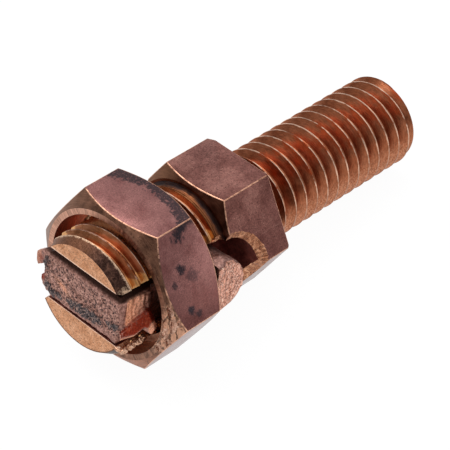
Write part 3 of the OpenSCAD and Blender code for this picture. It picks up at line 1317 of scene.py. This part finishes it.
@dataclass
class StudBody(Part):
    """Threaded stud, hex collar and split post, cut from one bar of copper."""

    node: str = "stud_body"
    body: str = "body"
    slot: str = "stud_copper"
    stud_thread: ThreadForm = ThreadForm(
        major_r=STUD_R, pitch=1.5875, crest_x=5.30, nick_seed=3.0, crest_share=0.07,
    )
    post_thread: ThreadForm = ThreadForm(
        major_r=6.35, pitch=POST_PITCH, crest_x=POST_CREST_X, nick_seed=9.0,
    )
    stud_chamfer: float = 0.15
    stud_rim: float = 0.85
    stud_rim_drop: float = 0.27
    collar_len: float = 6.95
    collar_face_inset: float = 0.35
    collar_chamfer: float = 30.0
    post_chamfer: float = 1.05
    post_face_r: float = 5.6
    post_face_shift: Pair = (0.3, -0.1)
    low_leg_spread: float = 1.035
    tip_len: float = 0.78
    tip_drop: float = 0.06
    neck_r: float = 5.6
    thread_end_x: float = -8.35
    tool_mark: float = 0.05
    tool_marks: int = 6
    slot_w: float = 6.25
    slot_rise: float = 0.25
    slot_floor: float = 3.7
    mouth_r: float = 3.85
    mouth_shift: float = 0.9
    mouth_drop: float = 0.55
    slot_drop: float = 0.3
    chatter: float = 0.16
    edge_y: float = 4.5
    edge_break: float = 0.55
    low: Vector = field(default_factory=lambda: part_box("stud_body")[0] / MM)
    high: Vector = field(default_factory=lambda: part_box("stud_body")[1] / MM)

    @property
    def slot_centre_x(self) -> float:
        """Place of the round slot floor's centre along X."""
        return -self.slot_floor - self.slot_w / 2

    def build(self, finishes: Finishes) -> Piece:
        """Models the piece in millimetres.

        Args:
            finishes: Every finish.

        Returns:
            The mesh object.
        """
        across = 2 * self.high.z
        blank = HexBlank(
            across, -self.collar_len, 0.0, self.collar_face_inset, self.collar_chamfer, both_ends=False,
            worn_at=60.0,
        )
        brown = finishes.collar_chamfer
        piece = blank.make(finishes.collar_flat, brown, brown, finishes.edge)
        for side in (-1, 1):
            for tilt in (-1, 1):
                combine(piece, self.mouth_cutter(across, side, tilt, finishes), Blend.CUT)
        for tool in (self.stud(finishes), self.neck(finishes), self.post(finishes)):
            combine(piece, tool, Blend.JOIN)
        for tool in (*self.edge_wedges(finishes), self.slot_cutter(finishes)):
            combine(piece, tool, Blend.CUT)
        for crumb in self.crumbs(finishes):
            combine(piece, crumb, Blend.JOIN)
        return piece

    def mouth_cutter(self, across: float, side: int, tilt: int, finishes: Finishes) -> Piece:
        """Makes the cone that bevels the slot's mouth on one flat of the collar.

        Args:
            across: Collar width across its flats.
            side: Which end of the slot, -1 or 1 along Y.
            tilt: Upper flat for 1, lower flat for -1.
            finishes: Every finish.

        Returns:
            The cutter.
        """
        normal = Vector((0, side * math.cos(math.pi / 6), tilt * 0.5))
        along = Vector((0, -side * 0.5, tilt * math.cos(math.pi / 6)))
        height = self.slot_rise - self.mouth_drop
        reach = across / 2 - height * tilt * 0.5
        centre = Vector((self.slot_centre_x, 0, height)) + normal * reach
        centre += along * (self.mouth_shift - across / 2 * math.tan(math.pi / 6))
        past = 0.5
        depth = self.mouth_r + past
        turn = normal.to_track_quat("Z", "Y")
        bpy.ops.object.select_all(action="DESELECT")
        bpy.ops.mesh.primitive_cone_add(
            vertices=ROUND_STEPS, radius1=0, radius2=depth, depth=depth,
            location=centre + normal * (past - depth / 2), rotation=turn.to_euler(),
        )
        cutter = bpy.context.object
        bpy.ops.object.transform_apply(location=True, rotation=True, scale=True)
        places = coordinates(cutter)
        for i, place in enumerate(places):
            if (Vector(place) - centre).dot(normal) > 0:
                place += normal * self.chatter * noise.noise(Vector((i * 1.3, 5.3 * side, 2.1 * tilt)))
        move_vertices(cutter, places)
        paint(cutter, finishes.raw_cut)
        return cutter

    def stud(self, finishes: Finishes) -> Piece:
        """Makes the mounting stud with its thread and chamfered end.

        Args:
            finishes: Every finish.

        Returns:
            The mesh object.
        """
        form, end, over = self.stud_thread, self.high.x, 0.3
        piece = form.solid("stud", -1.0, end)
        paint(piece, finishes.stud_thread)
        root, crest = form.major_r - form.depth - 0.1, form.major_r - self.stud_rim_drop
        rim = turned("stud_rim", [
            (end - self.stud_rim, 0), (end - self.stud_rim, root), (end - 0.1, crest), (end + 1, crest),
            (end + 1, 0),
        ])
        paint(rim, finishes.stud_thread)
        combine(piece, rim, Blend.JOIN)
        blank = turned("stud_blank", [
            (-1.0, 0), (-1.0, form.major_r + over), (end - self.stud_chamfer - over, form.major_r + over),
            (end, form.major_r - self.stud_chamfer), (end, 0),
        ])
        paint(blank, finishes.stud_end)
        combine(piece, blank, Blend.COMMON)
        return piece

    def post(self, finishes: Finishes) -> Piece:
        """Makes the threaded post, before it is split.

        Args:
            finishes: Every finish.

        Returns:
            The mesh object.
        """
        form, end, over = self.post_thread, self.low.x, 0.3
        top_r, tail_x = form.major_r, self.thread_end_x
        piece = form.solid("post", end, tail_x + 2)
        paint(piece, finishes.post_thread)
        tip_r = top_r - self.tip_drop
        plug = turned("post_tip", [
            (end - 0.9, 0), (end - 0.9, tip_r), (end + self.tip_len, tip_r), (end + self.tip_len, 0),
        ])
        paint(plug, finishes.post_chamfer)
        combine(piece, plug, Blend.JOIN)
        drop = top_r - self.neck_r
        spread = over * self.post_chamfer / (top_r - self.post_face_r)
        count = self.tool_marks
        run_out = [
            (tail_x + drop * i / count, top_r - drop * i / count - self.tool_mark * (i % 2))
            for i in range(count)
        ]
        blank = turned("post_blank", [
            (end, 0), (end, self.post_face_r), (end + self.post_chamfer + spread, top_r + over),
            (tail_x - over, top_r + over), *run_out, (tail_x + drop, self.neck_r), (tail_x + drop, 0),
        ])
        paint(blank, finishes.post_chamfer)
        paint(blank, finishes.neck, lambda middle, normal: normal.x > 0.1)
        paint(blank, finishes.sawn_end, lambda middle, normal: normal.x < -SQUARE_ON)
        places = coordinates(blank)
        face = places[:, 0] < end + MERGE_MM
        places[face, 1:] += self.post_face_shift
        places[face & (places[:, 2] < -1), 1:] *= self.low_leg_spread
        move_vertices(blank, places)
        combine(piece, blank, Blend.COMMON)
        return piece

    def neck(self, finishes: Finishes) -> Piece:
        """Makes the turned neck that flares into the collar.

        Args:
            finishes: Every finish.

        Returns:
            The mesh object.
        """
        face_x, flare = -self.collar_len, 0.6
        curve = arc((face_x - flare, self.neck_r + flare), flare, 270, 350, 8)
        tail = curve[-1]
        marks = [
            (face_x - 1.5 + 0.15 * i, self.neck_r - self.tool_mark * (i % 2))
            for i in range(self.tool_marks)
        ]
        piece = turned("neck", [
            (face_x - 3.0, 0), (face_x - 3.0, self.neck_r - 0.6), (face_x - 1.6, self.neck_r), *marks,
            *curve, (face_x + 0.6, tail[1] - 0.05), (face_x + 0.6, 0),
        ])
        paint(piece, finishes.neck)
        return piece

    def slot_cutter(self, finishes: Finishes) -> Piece:
        """Makes the cutter for the conductor slot, with its round floor.

        Args:
            finishes: Every finish.

        Returns:
            The cutter.
        """
        half, past = self.slot_w / 2, 1.0
        floor = arc((self.slot_centre_x, self.slot_rise - self.slot_drop), half, -90, 90, ROUND_STEPS // 2)
        front = self.low.x - past
        outline = [(front, self.slot_rise - half), *floor, (front, self.slot_rise + half)]
        cutter = prism("slot_cutter", outline, Plane.SIDE, self.low.y - past, self.high.y + past)
        paint(cutter, finishes.slot_wall)
        return cutter

    def edge_wedges(self, finishes: Finishes) -> Iterator[Piece]:
        """Makes the cutters that break the four edges where the slot runs out through the thread.

        Args:
            finishes: Every finish.

        Yields:
            One cutter after the other.
        """
        half, reach, out = self.slot_w / 2 - 0.07, self.edge_break, self.post_thread.major_r + 1
        for side, way in itertools.product((-1, 1), (-1, 1)):
            edge = self.slot_rise + way * half
            inner, outer = edge - way * 2 * self.slot_drop, edge + way * 2.07 * reach
            outline = [
                (side * self.edge_y, inner), (side * self.edge_y, edge),
                (side * (self.edge_y + 2 * reach), outer), (side * out, outer), (side * out, inner),
            ]
            wedge = prism("edge_wedge", outline, Plane.FRONT, self.low.x - 1, self.thread_end_x + 0.5)
            paint(wedge, finishes.raw_cut)
            yield wedge

    def crumbs(self, finishes: Finishes) -> Iterator[Piece]:
        """Makes the crumbs of copper that hang on the lower leg's slot edge and on the neck's.

        Args:
            finishes: Every finish.

        Yields:
            One crumb after the other.
        """
        spots = (
            ((-20.35, -4.85, -3.1), (0.3, 0.4, 0.25)), ((-20.0, -5.2, -3.25), (0.5, 0.33, 0.3)),
            ((-19.3, -5.25, -3.2), (0.4, 0.32, 0.33)), ((-18.7, -5.15, -3.25), (0.45, 0.32, 0.32)),
            ((-18.1, -5.25, -3.2), (0.38, 0.3, 0.33)), ((-17.4, -5.15, -3.25), (0.45, 0.3, 0.3)),
            ((-8.55, -4.55, 3.4), (0.26, 0.24, 0.14)), ((-7.95, -4.75, 3.38), (0.45, 0.15, 0.11)),
            ((-7.3, -4.65, 3.36), (0.45, 0.17, 0.1)),
        )
        for i, (centre, size) in enumerate(spots):
            crumb = lump("crumb", centre, size, seed=7.0 + 3.7 * i, ragged=0.38)
            paint(crumb, finishes.torn_crumb if centre[2] < 0 else finishes.raw_cut)
            yield crumb


@dataclass
class ClampNut(Part):
    """Hex nut that drives the pressure bar, counterbored in front for its ears."""

    node: str = "clamp_nut"
    body: str = "nut"
    slot: str = "nut_copper"
    face_inset: float = 0.35
    chamfer: float = 36.0
    counterbore_wall: float = 0.975
    counterbore_depth: float = 2.6
    bore_bevel: float = 0.3
    thread: ThreadForm = ThreadForm(
        major_r=6.62, pitch=POST_PITCH, crest_x=POST_CREST_X, nick_seed=0.0, depth_share=0.1,
        crest_share=0.2, burr=0.0,
    )
    low: Vector = field(default_factory=lambda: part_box("clamp_nut")[0] / MM)
    high: Vector = field(default_factory=lambda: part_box("clamp_nut")[1] / MM)

    def build(self, finishes: Finishes) -> Piece:
        """Models the piece in millimetres.

        Args:
            finishes: Every finish.

        Returns:
            The mesh object.
        """
        front, rear, across = self.low.x, self.high.x, 2 * self.high.z
        blank = HexBlank(across, front, rear, self.face_inset, self.chamfer, both_ends=True)
        piece = blank.make(finishes.nut_flat, finishes.nut_chamfer, finishes.ring, finishes.edge)
        bore_r = across / 2 - self.counterbore_wall
        wall = turned("counterbore", [
            (front - 1, 0), (front - 1, bore_r), (front + self.counterbore_depth, bore_r),
            (front + self.counterbore_depth, 0),
        ])
        paint(wall, finishes.counterbore)
        combine(piece, wall, Blend.CUT)
        tap = self.thread.solid("tap", front, rear)
        paint(tap, finishes.post_thread)
        combine(piece, tap, Blend.CUT)
        mouth = self.thread.major_r + self.bore_bevel
        bevel = turned("bore_bevel", [(rear - mouth, 0), (rear + 1, mouth + 1), (rear + 1, 0)])
        paint(bevel, finishes.nut_chamfer)
        combine(piece, bevel, Blend.CUT)
        for chip in self.chips(finishes):
            combine(piece, chip, Blend.CUT)
        return piece

    def chips(self, finishes: Finishes) -> Iterator[Piece]:
        """Makes the hollows where the front chamfer cracked and flaked.

        Args:
            finishes: Every finish.

        Yields:
            One hollow after the other.
        """
        hollows = (
            ((-17.3, -8.15, 1.9), (0.2, 0.5, 0.8)), ((-17.15, -8.6, 0.4), (0.2, 0.5, 0.9)),
            ((-17.45, -7.9, -0.8), (0.16, 0.4, 0.8)), ((-16.9, -8.95, 0.9), (0.25, 0.25, 0.6)),
            ((-17.25, -8.2, -1.9), (0.18, 0.5, 0.6)), ((-17.43, -7.3, -3.0), (0.16, 0.35, 0.6)),
        )
        for i, (centre, size) in enumerate(hollows):
            chip = lump("chip", centre, size, seed=2.3 + 5.1 * i, ragged=0.5)
            paint(chip, finishes.flaked_skin)
            yield chip


@dataclass
class PressureBar(Part):
    """Bar that presses on the conductor, sheared to length and staked over in the nut."""

    node: str = "pressure_bar"
    body: str = "bar"
    slot: str = "bar_copper"
    shank_w: float = 9.0
    pad_len: float = 3.66
    edge_break: float = 0.3
    head_left: float = 5.6
    side_y: float = 4.85
    side_lean: float = 0.3
    head_len: float = 1.8
    ear_thick: float = 0.55
    top_drop: float = 0.3
    shank_drop: float = 0.17
    pad_drop: float = 0.12
    pad_flare: float = 0.25
    pad_dome: float = 0.4
    voxel: float = 0.085
    slate_spots: tuple[Spot, ...] = (
        Spot((0, 1.5, -1.6), 0.65), Spot((0, 0.6, -1.5), 0.8), Spot((0, -0.4, -1.5), 0.85),
        Spot((0, -1.5, -1.35), 0.8), Spot((0, -2.2, -1.2), 0.55), Spot((0, -3.5, -0.85), 0.5),
        Spot((0, -4.3, -0.7), 0.5), Spot((0, 4.7, -1.6), 0.7), Spot((0, 4.2, -2.0), 0.7),
        Spot((0, 3.2, -1.9), 0.6), Spot((0, 5.3, 0.6), 0.5, 0.7), Spot((0, 5.05, 1.7), 0.45, 0.8),
        Spot((0, 5.3, 1.15), 0.4),
    )
    low: Vector = field(default_factory=lambda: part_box("pressure_bar")[0] / MM)
    high: Vector = field(default_factory=lambda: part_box("pressure_bar")[1] / MM)

    def build(self, finishes: Finishes) -> Piece:
        """Models the piece in millimetres.

        Args:
            finishes: Every finish.

        Returns:
            The mesh object.
        """
        piece = self.shank()
        for tool in (self.head(), self.pad(), self.side_block(), *self.front_ears()):
            combine(piece, tool, Blend.JOIN)
        for tool in self.edge_cutters():
            combine(piece, tool, Blend.CUT)
        combine(piece, self.bent_ear(), Blend.JOIN)
        apply_modifier(piece, "REMESH", mode="VOXEL", voxel_size=self.voxel)
        apply_modifier(piece, "SMOOTH", factor=0.5, iterations=3)
        paint(piece, finishes.struck)
        self.strike(piece)
        end = self.high.y - 0.25
        paint(piece, finishes.pad_end, lambda middle, normal: abs(middle.y) > end and abs(normal.y) > 0.6)
        return piece

    def shank(self) -> Piece:
        """Makes the shank that passes through the nut.

        Returns:
            The mesh object.
        """
        front, rear = self.low.x, self.high.x - self.pad_len + 0.5
        low, high, cut = self.low.z, self.high.z - self.shank_drop, self.edge_break
        outline = [
            (rear, low), (rear, high), (front + cut, high), (front, high - cut), (front, low + cut),
            (front + cut, low),
        ]
        return prism("shank", outline, Plane.SIDE, -self.shank_w / 2, self.shank_w / 2)

    def head(self) -> Piece:
        """Makes the front end, which hammering has spread and rounded.

        Returns:
            The mesh object.
        """
        left, right, top, low = self.head_left, -self.side_y, self.high.z - 0.1, self.low.z - 0.1
        outline = [
            (right + 0.2, low + 0.15), (right + 0.5, low), (left - 1.1, low), (left - 0.25, low + 0.8),
            (left, low + 1.6), (left - 0.35, top - 1.0), (left - 1.2, top), (right, top),
        ]
        piece = prism("head", outline, Plane.FRONT, self.low.x + 0.02, self.low.x + self.head_len)
        apply_modifier(
            piece, "BEVEL", width=0.25, segments=3, limit_method="ANGLE", angle_limit=math.radians(60),
        )
        return piece

    def pad(self) -> Piece:
        """Makes the wide pad with its round nose.

        Returns:
            The mesh object.
        """
        nose = (self.high.z - self.low.z) / 2
        middle = (self.high.x - nose, self.low.z + nose)
        shoulder = self.high.x - self.pad_len
        outline = [(shoulder, self.low.z), *arc(middle, nose, -90, 90, 48), (shoulder, self.high.z)]
        piece = prism("pad", outline, Plane.SIDE, self.low.y, self.high.y)
        places = coordinates(piece)
        places[:, 2] -= self.pad_drop
        move_vertices(piece, places)
        return piece

    def front_ears(self) -> Iterator[Piece]:
        """Makes the two ears that droop from the front end's left side.

        Yields:
            The upper ear and the lower one.
        """
        root, front = self.shank_w / 2, self.low.x + 0.15
        upper = [(root, 1.5), (5.35, 0.8), (6.5, -0.1), (6.7, 1.45), (5.5, 2.5), (root, 2.6)]
        lower = [(root, 0.2), (5.1, 0.0), (5.95, -1.05), (5.7, -2.0), (5.2, -2.4), (root, -2.5)]
        for outline in (upper, lower):
            yield prism("front_ear", outline, Plane.FRONT, front, front + self.ear_thick)

    def side_block(self) -> Piece:
        """Makes the right side, which hammering has spread a little.

        Returns:
            The mesh object.
        """
        front, inner = self.low.x, 0.3 - self.shank_w / 2
        lean = self.side_lean
        outline = [
            (front + 0.1, inner), (front + 0.1, lean - self.side_y), (front + 3.6, -self.side_y - lean),
            (front + 4.4, inner),
        ]
        return prism("side_block", outline, Plane.TOP, self.low.z + 0.2, self.high.z - 0.3)

    def edge_cutters(self) -> Iterator[Piece]:
        """Makes the cutters that round the struck end's upper and right edges.

        Yields:
            One cutter after the other.
        """
        front, top, side, past = self.low.x, self.high.z, -self.side_y, 0.4
        drop, low = self.top_drop, top - self.top_drop
        yield prism("top_slope", [
            (front - past, low), (front + 5, top + 0.02), (front + 5, top + past),
            (front - past, top + past),
        ], Plane.SIDE, -self.shank_w, self.shank_w)
        yield prism("top_break", [
            (front - 0.1, low - 0.65), (front + 0.45, low + 0.1), (front - 0.1, low + 0.1),
        ], Plane.SIDE, -self.shank_w, self.shank_w)
        yield prism("right_break", [
            (front - past, side + 0.35), (front + 1.0, side - 0.02), (front + 1.0, side - past),
            (front - past, side - past),
        ], Plane.TOP, -self.shank_w, self.shank_w)
        yield prism("top_right_break", [
            (side + 0.75, top + drop), (side + 0.75, top), (side, top - 0.75), (side - past, top - 0.75),
            (side - past, top + drop),
        ], Plane.FRONT, front - past, front + 6)

    def bent_ear(self) -> Piece:
        """Makes the ear that the chisel peeled off the right side and bent into the counterbore.

        Returns:
            The mesh object.
        """
        front, root = self.low.x, 0.3 - self.shank_w / 2
        return loft("bent_ear", [
            (front + 0.15, [
                (root, -0.95), (-4.75, -0.95), (-5.0, -1.55), (-5.02, -1.7), (-4.95, -2.0), (-4.7, -2.2),
                (root, -2.3),
            ]),
            (front + 1.5, [
                (root, -0.3), (-5.15, -0.33), (-5.55, -1.6), (-5.5, -1.8), (-5.3, -2.0), (-5.0, -2.1),
                (root, -2.2),
            ]),
            (front + 2.4, [
                (root, 0.0), (-5.4, 0.0), (-5.85, -0.95), (-5.85, -1.1), (-5.6, -1.3), (-5.3, -1.5),
                (root, -2.0),
            ]),
            (front + 3.1, [
                (root, 0.3), (-5.65, 0.28), (-6.1, -0.6), (-6.55, -1.2), (-6.2, -2.2), (-5.6, -1.9),
                (root, -1.6),
            ]),
            (front + 3.5, [
                (root, 0.3), (-5.6, 0.25), (-6.1, -0.6), (-6.45, -1.2), (-6.1, -2.0), (-5.6, -1.8),
                (root, -1.6),
            ]),
            (front + 4.3, [
                (root, 0.1), (-4.4, 0.1), (-4.5, -0.6), (-4.5, -1.0), (-4.5, -1.4), (-4.4, -1.5),
                (root, -1.6),
            ]),
        ])

    def strike(self, piece: Piece) -> None:
        """Pits and scores the bar, and paints where it was pitted, scraped and struck, and where shade
        falls.

        Args:
            piece: Finely divided bar mesh.
        """
        mesh = piece.data
        places = coordinates(piece)
        normals = np.array([tuple(v.normal) for v in mesh.vertices])
        # Each soft step runs between two places in millimetres, with x counted from the front end.
        x, y, z = places.T - np.array([[self.low.x], [0.0], [0.0]])
        ahead = soft(-normals[:, 0], 0.2, 0.6) * soft(-x, -0.9, -0.5)
        rightward = soft(-normals[:, 1], 0.1, 0.4) * soft(-x, -4.8, -4.2)
        crown = -1.0 + 0.43 * np.clip(x, 0, 3.2)
        hooked = soft(z - crown, 0.1, -0.1) * soft(-y, 4.7, 4.85)
        facet = rightward * (1 - hooked) * soft(x, 0.75, 1.0) * soft(-z, -2.6, -2.2)
        wave, fine = (np.array([noise.noise(Vector(p) * k) for p in places]) for k in (0.9, 3.1))
        ridge = np.array([noise.noise(Vector((p[0] * 3.2, p[1] * 3.2, p[2] * 0.4))) for p in places])
        scored = np.array([
            noise.noise(Vector(((p[0] + p[2]) * 0.6, 0.0, (p[2] - p[0]) * 4.0))) for p in places
        ])
        ends = soft(np.abs(y), self.high.y - 0.5, self.high.y - 0.2)
        marks = np.zeros(len(places))
        for spot in self.slate_spots:
            away = np.hypot(y - spot.centre[1], z - spot.centre[2]) + 0.35 * fine
            marks += spot.strength * soft(away, spot.radius, 0.7 * spot.radius)
        stripe = np.exp(-((z + 0.35 + 0.45 * (2.9 - y)) / 0.28) ** 2) * np.exp(-((y - 2.8) / 0.9) ** 2)
        lip = soft(-y, 4.8, 4.95) * soft(-normals[:, 2], 0.0, 0.4) * soft(-x, -2.0, -1.6)
        # The pad's top faces are painted darker as shade, through the slate share.
        near, pad_top_shade = soft(-x, -5.2, -4.8), soft(normals[:, 2], 0.2, 0.6) * soft(x, 8.0, 9.0)
        tip = near * (0.7 * soft(-y, 5.95, 6.15) + 0.3 * soft(y, 5.9, 6.2))
        shares = {
            # Slate oxide in the marks, plus painted shade on the pad's top.
            "slate": np.clip(ahead * marks + 0.3 * pad_top_shade, 0, 1),
            "pitted": ahead * soft(-z, -2.3, -1.9) * soft(z, -2.3, -1.9) * soft(-y, -5.6, -5.2),
            # The raw facet fades away from the front end as painted shade.
            "raw": np.clip(facet * (1.5 - 0.38 * x) + tip + lip + 0.8 * ahead * stripe, 0, 1) * (1 - ends),
            "red": near * hooked * soft(normals[:, 2], -0.1, 0.25) * soft(y, -6.2, -6.0)
            + near * soft(y, 5.15, 5.4) * soft(-z, -0.3, 0.1) * soft(z, -1.5, -1.2)
            + 0.6 * near * np.exp(-((y - 6.05) / 0.3) ** 2 - ((z - 1.0) / 0.55) ** 2),
            # Painted shade in the gap between the bar's top and the upper leg.
            "gap_shade": soft(z, 2.25, 2.6) * soft(-x, -6.0, -5.0),
        }
        drop = 0.02 * wave + ahead * (0.05 * fine + 0.06 * wave - 0.05 * marks)
        drop += facet * (0.1 * ridge + 0.07 * fine)
        drop += ends * (0.08 * scored + 0.1 * wave)
        dome = soft(-y, 5.6, 6.8) * soft(normals[:, 2], -0.1, 0.5)
        dome *= np.exp(-((places[:, 0] + 8.9) / 1.4) ** 2)
        places[:, 0] += ends * soft(places[:, 0], -9.5, -7.5) * soft(-z, -0.5, 1.5) * self.pad_flare
        places[:, 2] += self.pad_dome * dome * soft(y, -7.9, -7.3)
        move_vertices(piece, places - normals * drop[:, None])
        for name, values in shares.items():
            mesh.attributes.new(name, "FLOAT", "POINT").data.foreach_set("value", values)


def soft(values: np.ndarray, low: float, high: float) -> np.ndarray:
    """Turns values into a soft step from 0 at low to 1 at high, which may lie below low.

    Args:
        values: Values to measure.
        low: Where the step starts.
        high: Where it ends.

    Returns:
        The step at each value.
    """
    share = np.clip((values - low) / (high - low), 0, 1)
    return share * share * (3 - 2 * share)


@dataclass(frozen=True)
class PhotoCamera:
    """Camera that sees the connector as the photograph does."""

    azimuth: float = -50.92
    elevation: float = 40.0
    roll: float = 6.85
    distance_mm: float = 229.716
    focal_px: float = 2322.0
    aim_x_mm: float = -1.207
    shift_right_mm: float = 0.085
    shift_up_mm: float = -1.175

    def place(self) -> None:
        """Adds the camera and makes it the scene's own."""
        turn, lift, roll = (math.radians(a) for a in (self.azimuth, self.elevation, self.roll))
        back = Vector((math.sin(turn) * math.cos(lift), -math.cos(turn) * math.cos(lift), math.sin(lift)))
        level = Vector((0, 0, 1)).cross(back).normalized()
        rise = back.cross(level)
        right = level * math.cos(roll) + rise * math.sin(roll)
        up = rise * math.cos(roll) - level * math.sin(roll)
        spot = Vector((self.aim_x_mm, 0, 0)) + back * self.distance_mm
        spot += right * self.shift_right_mm + up * self.shift_up_mm
        bpy.ops.object.camera_add()
        camera = bpy.context.object
        camera.name = "photo_camera"
        pose = Matrix((right, up, back)).transposed().to_4x4()
        pose.translation = spot * MM
        camera.matrix_world = pose
        camera.data.sensor_width = SENSOR_MM
        camera.data.lens = SENSOR_MM * self.focal_px / PHOTO_PX
        camera.data.clip_start = 0.01
        bpy.context.scene.camera = camera


@dataclass(frozen=True)
class Studio:
    """White floor under a soft sky, with one large lamp overhead."""

    floor_m: float = 6.0
    floor_colour: str = "#f2f2f2"
    floor_glow: float = 0.93
    glow_strength: float = 1.03
    horizon: str = "#8f8f92"
    zenith: str = "#f0f0f2"
    zenith_height: float = 0.75
    lamp_size_m: float = 0.35
    lamp_watts: float = 0.7
    lamp_place: Point = (-0.05, 0.16, 0.32)

    def build(self) -> None:
        """Builds the floor, the sky and the lamp."""
        self.floor()
        self.sky()
        self.lamp()

    def floor(self) -> None:
        """Lays the floor under the nut's rear edge and the stud's free end."""
        nut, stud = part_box("clamp_nut"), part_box("stud_body")
        heel = Vector((nut[1].x, 0, nut[0].z))
        toe = Vector((stud[1].x, 0, -STUD_R * MM))
        slope = math.atan2(toe.z - heel.z, toe.x - heel.x)
        bpy.ops.object.select_all(action="DESELECT")
        bpy.ops.mesh.primitive_plane_add(size=self.floor_m, location=heel, rotation=(0, -slope, 0))
        piece = bpy.context.object
        piece.name = "studio_floor"
        bpy.ops.object.transform_apply(location=True, rotation=True, scale=True)
        # White paper: it glows to the eye, so it shows pure white but still holds a soft shadow.
        material = bpy.data.materials.new("white_paper")
        material.use_nodes = True
        tree = material.node_tree
        tree.nodes.clear()
        path = add_node(tree, "ShaderNodeLightPath").outputs
        seen = path["Is Camera Ray"]
        for name in ("Is Glossy Ray", "Is Transmission Ray"):
            links = {0: seen, 1: path[name]}
            seen = add_node(tree, "ShaderNodeMath", links, operation="MAXIMUM").outputs[0]
        links = {0: seen, 1: self.floor_glow}
        share = add_node(tree, "ShaderNodeMath", links, operation="MULTIPLY").outputs[0]
        matt = add_node(tree, "ShaderNodeBsdfDiffuse", {"Color": srgb(self.floor_colour)})
        links = {"Color": srgb("#ffffff"), "Strength": self.glow_strength}
        glow = add_node(tree, "ShaderNodeEmission", links)
        both = add_node(tree, "ShaderNodeMixShader", {0: share, 1: matt.outputs[0], 2: glow.outputs[0]})
        add_node(tree, "ShaderNodeOutputMaterial", {"Surface": both.outputs[0]})
        piece.data.materials.append(material)

    def sky(self) -> None:
        """Makes the sky brighter overhead than at the horizon."""
        world = bpy.data.worlds.new("soft_sky")
        bpy.context.scene.world = world
        world.use_nodes = True
        tree = world.node_tree
        tree.nodes.clear()
        aim = add_node(tree, "ShaderNodeTexCoord").outputs["Generated"]
        height = add_node(tree, "ShaderNodeSeparateXYZ", {"Vector": aim}).outputs["Z"]
        ramp = add_node(tree, "ShaderNodeValToRGB", {"Fac": height})
        fill_ramp(ramp, ((0.0, self.horizon), (self.zenith_height, self.zenith)))
        glow = add_node(tree, "ShaderNodeBackground", {"Color": ramp.outputs["Color"], "Strength": 1.0})
        add_node(tree, "ShaderNodeOutputWorld", {"Surface": glow.outputs[0]})

    def lamp(self) -> None:
        """Hangs the soft lamp over the connector."""
        bpy.ops.object.light_add(type="AREA", location=self.lamp_place)
        lamp = bpy.context.object
        lamp.name = "soft_lamp"
        lamp.data.shape = "DISK"
        lamp.data.size = self.lamp_size_m
        lamp.data.energy = self.lamp_watts
        lamp.rotation_euler = Vector(self.lamp_place).to_track_quat("Z", "Y").to_euler()


def main() -> None:
    """Builds the camera, the studio and the three pieces of the connector."""
    logging.basicConfig(level=logging.INFO, format="%(name)s: %(message)s")
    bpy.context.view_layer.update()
    bpy.context.scene.view_settings.view_transform = "Standard"
    PhotoCamera().place()
    Studio().build()
    finishes = Finishes()
    for part in (StudBody(), ClampNut(), PressureBar()):
        piece = part.place(finishes)
        faces, coats = len(piece.data.polygons), len(piece.data.materials)
        log.info("%s: %d faces, %d finishes", piece.name, faces, coats)


if __name__ == "__main__":
    main()
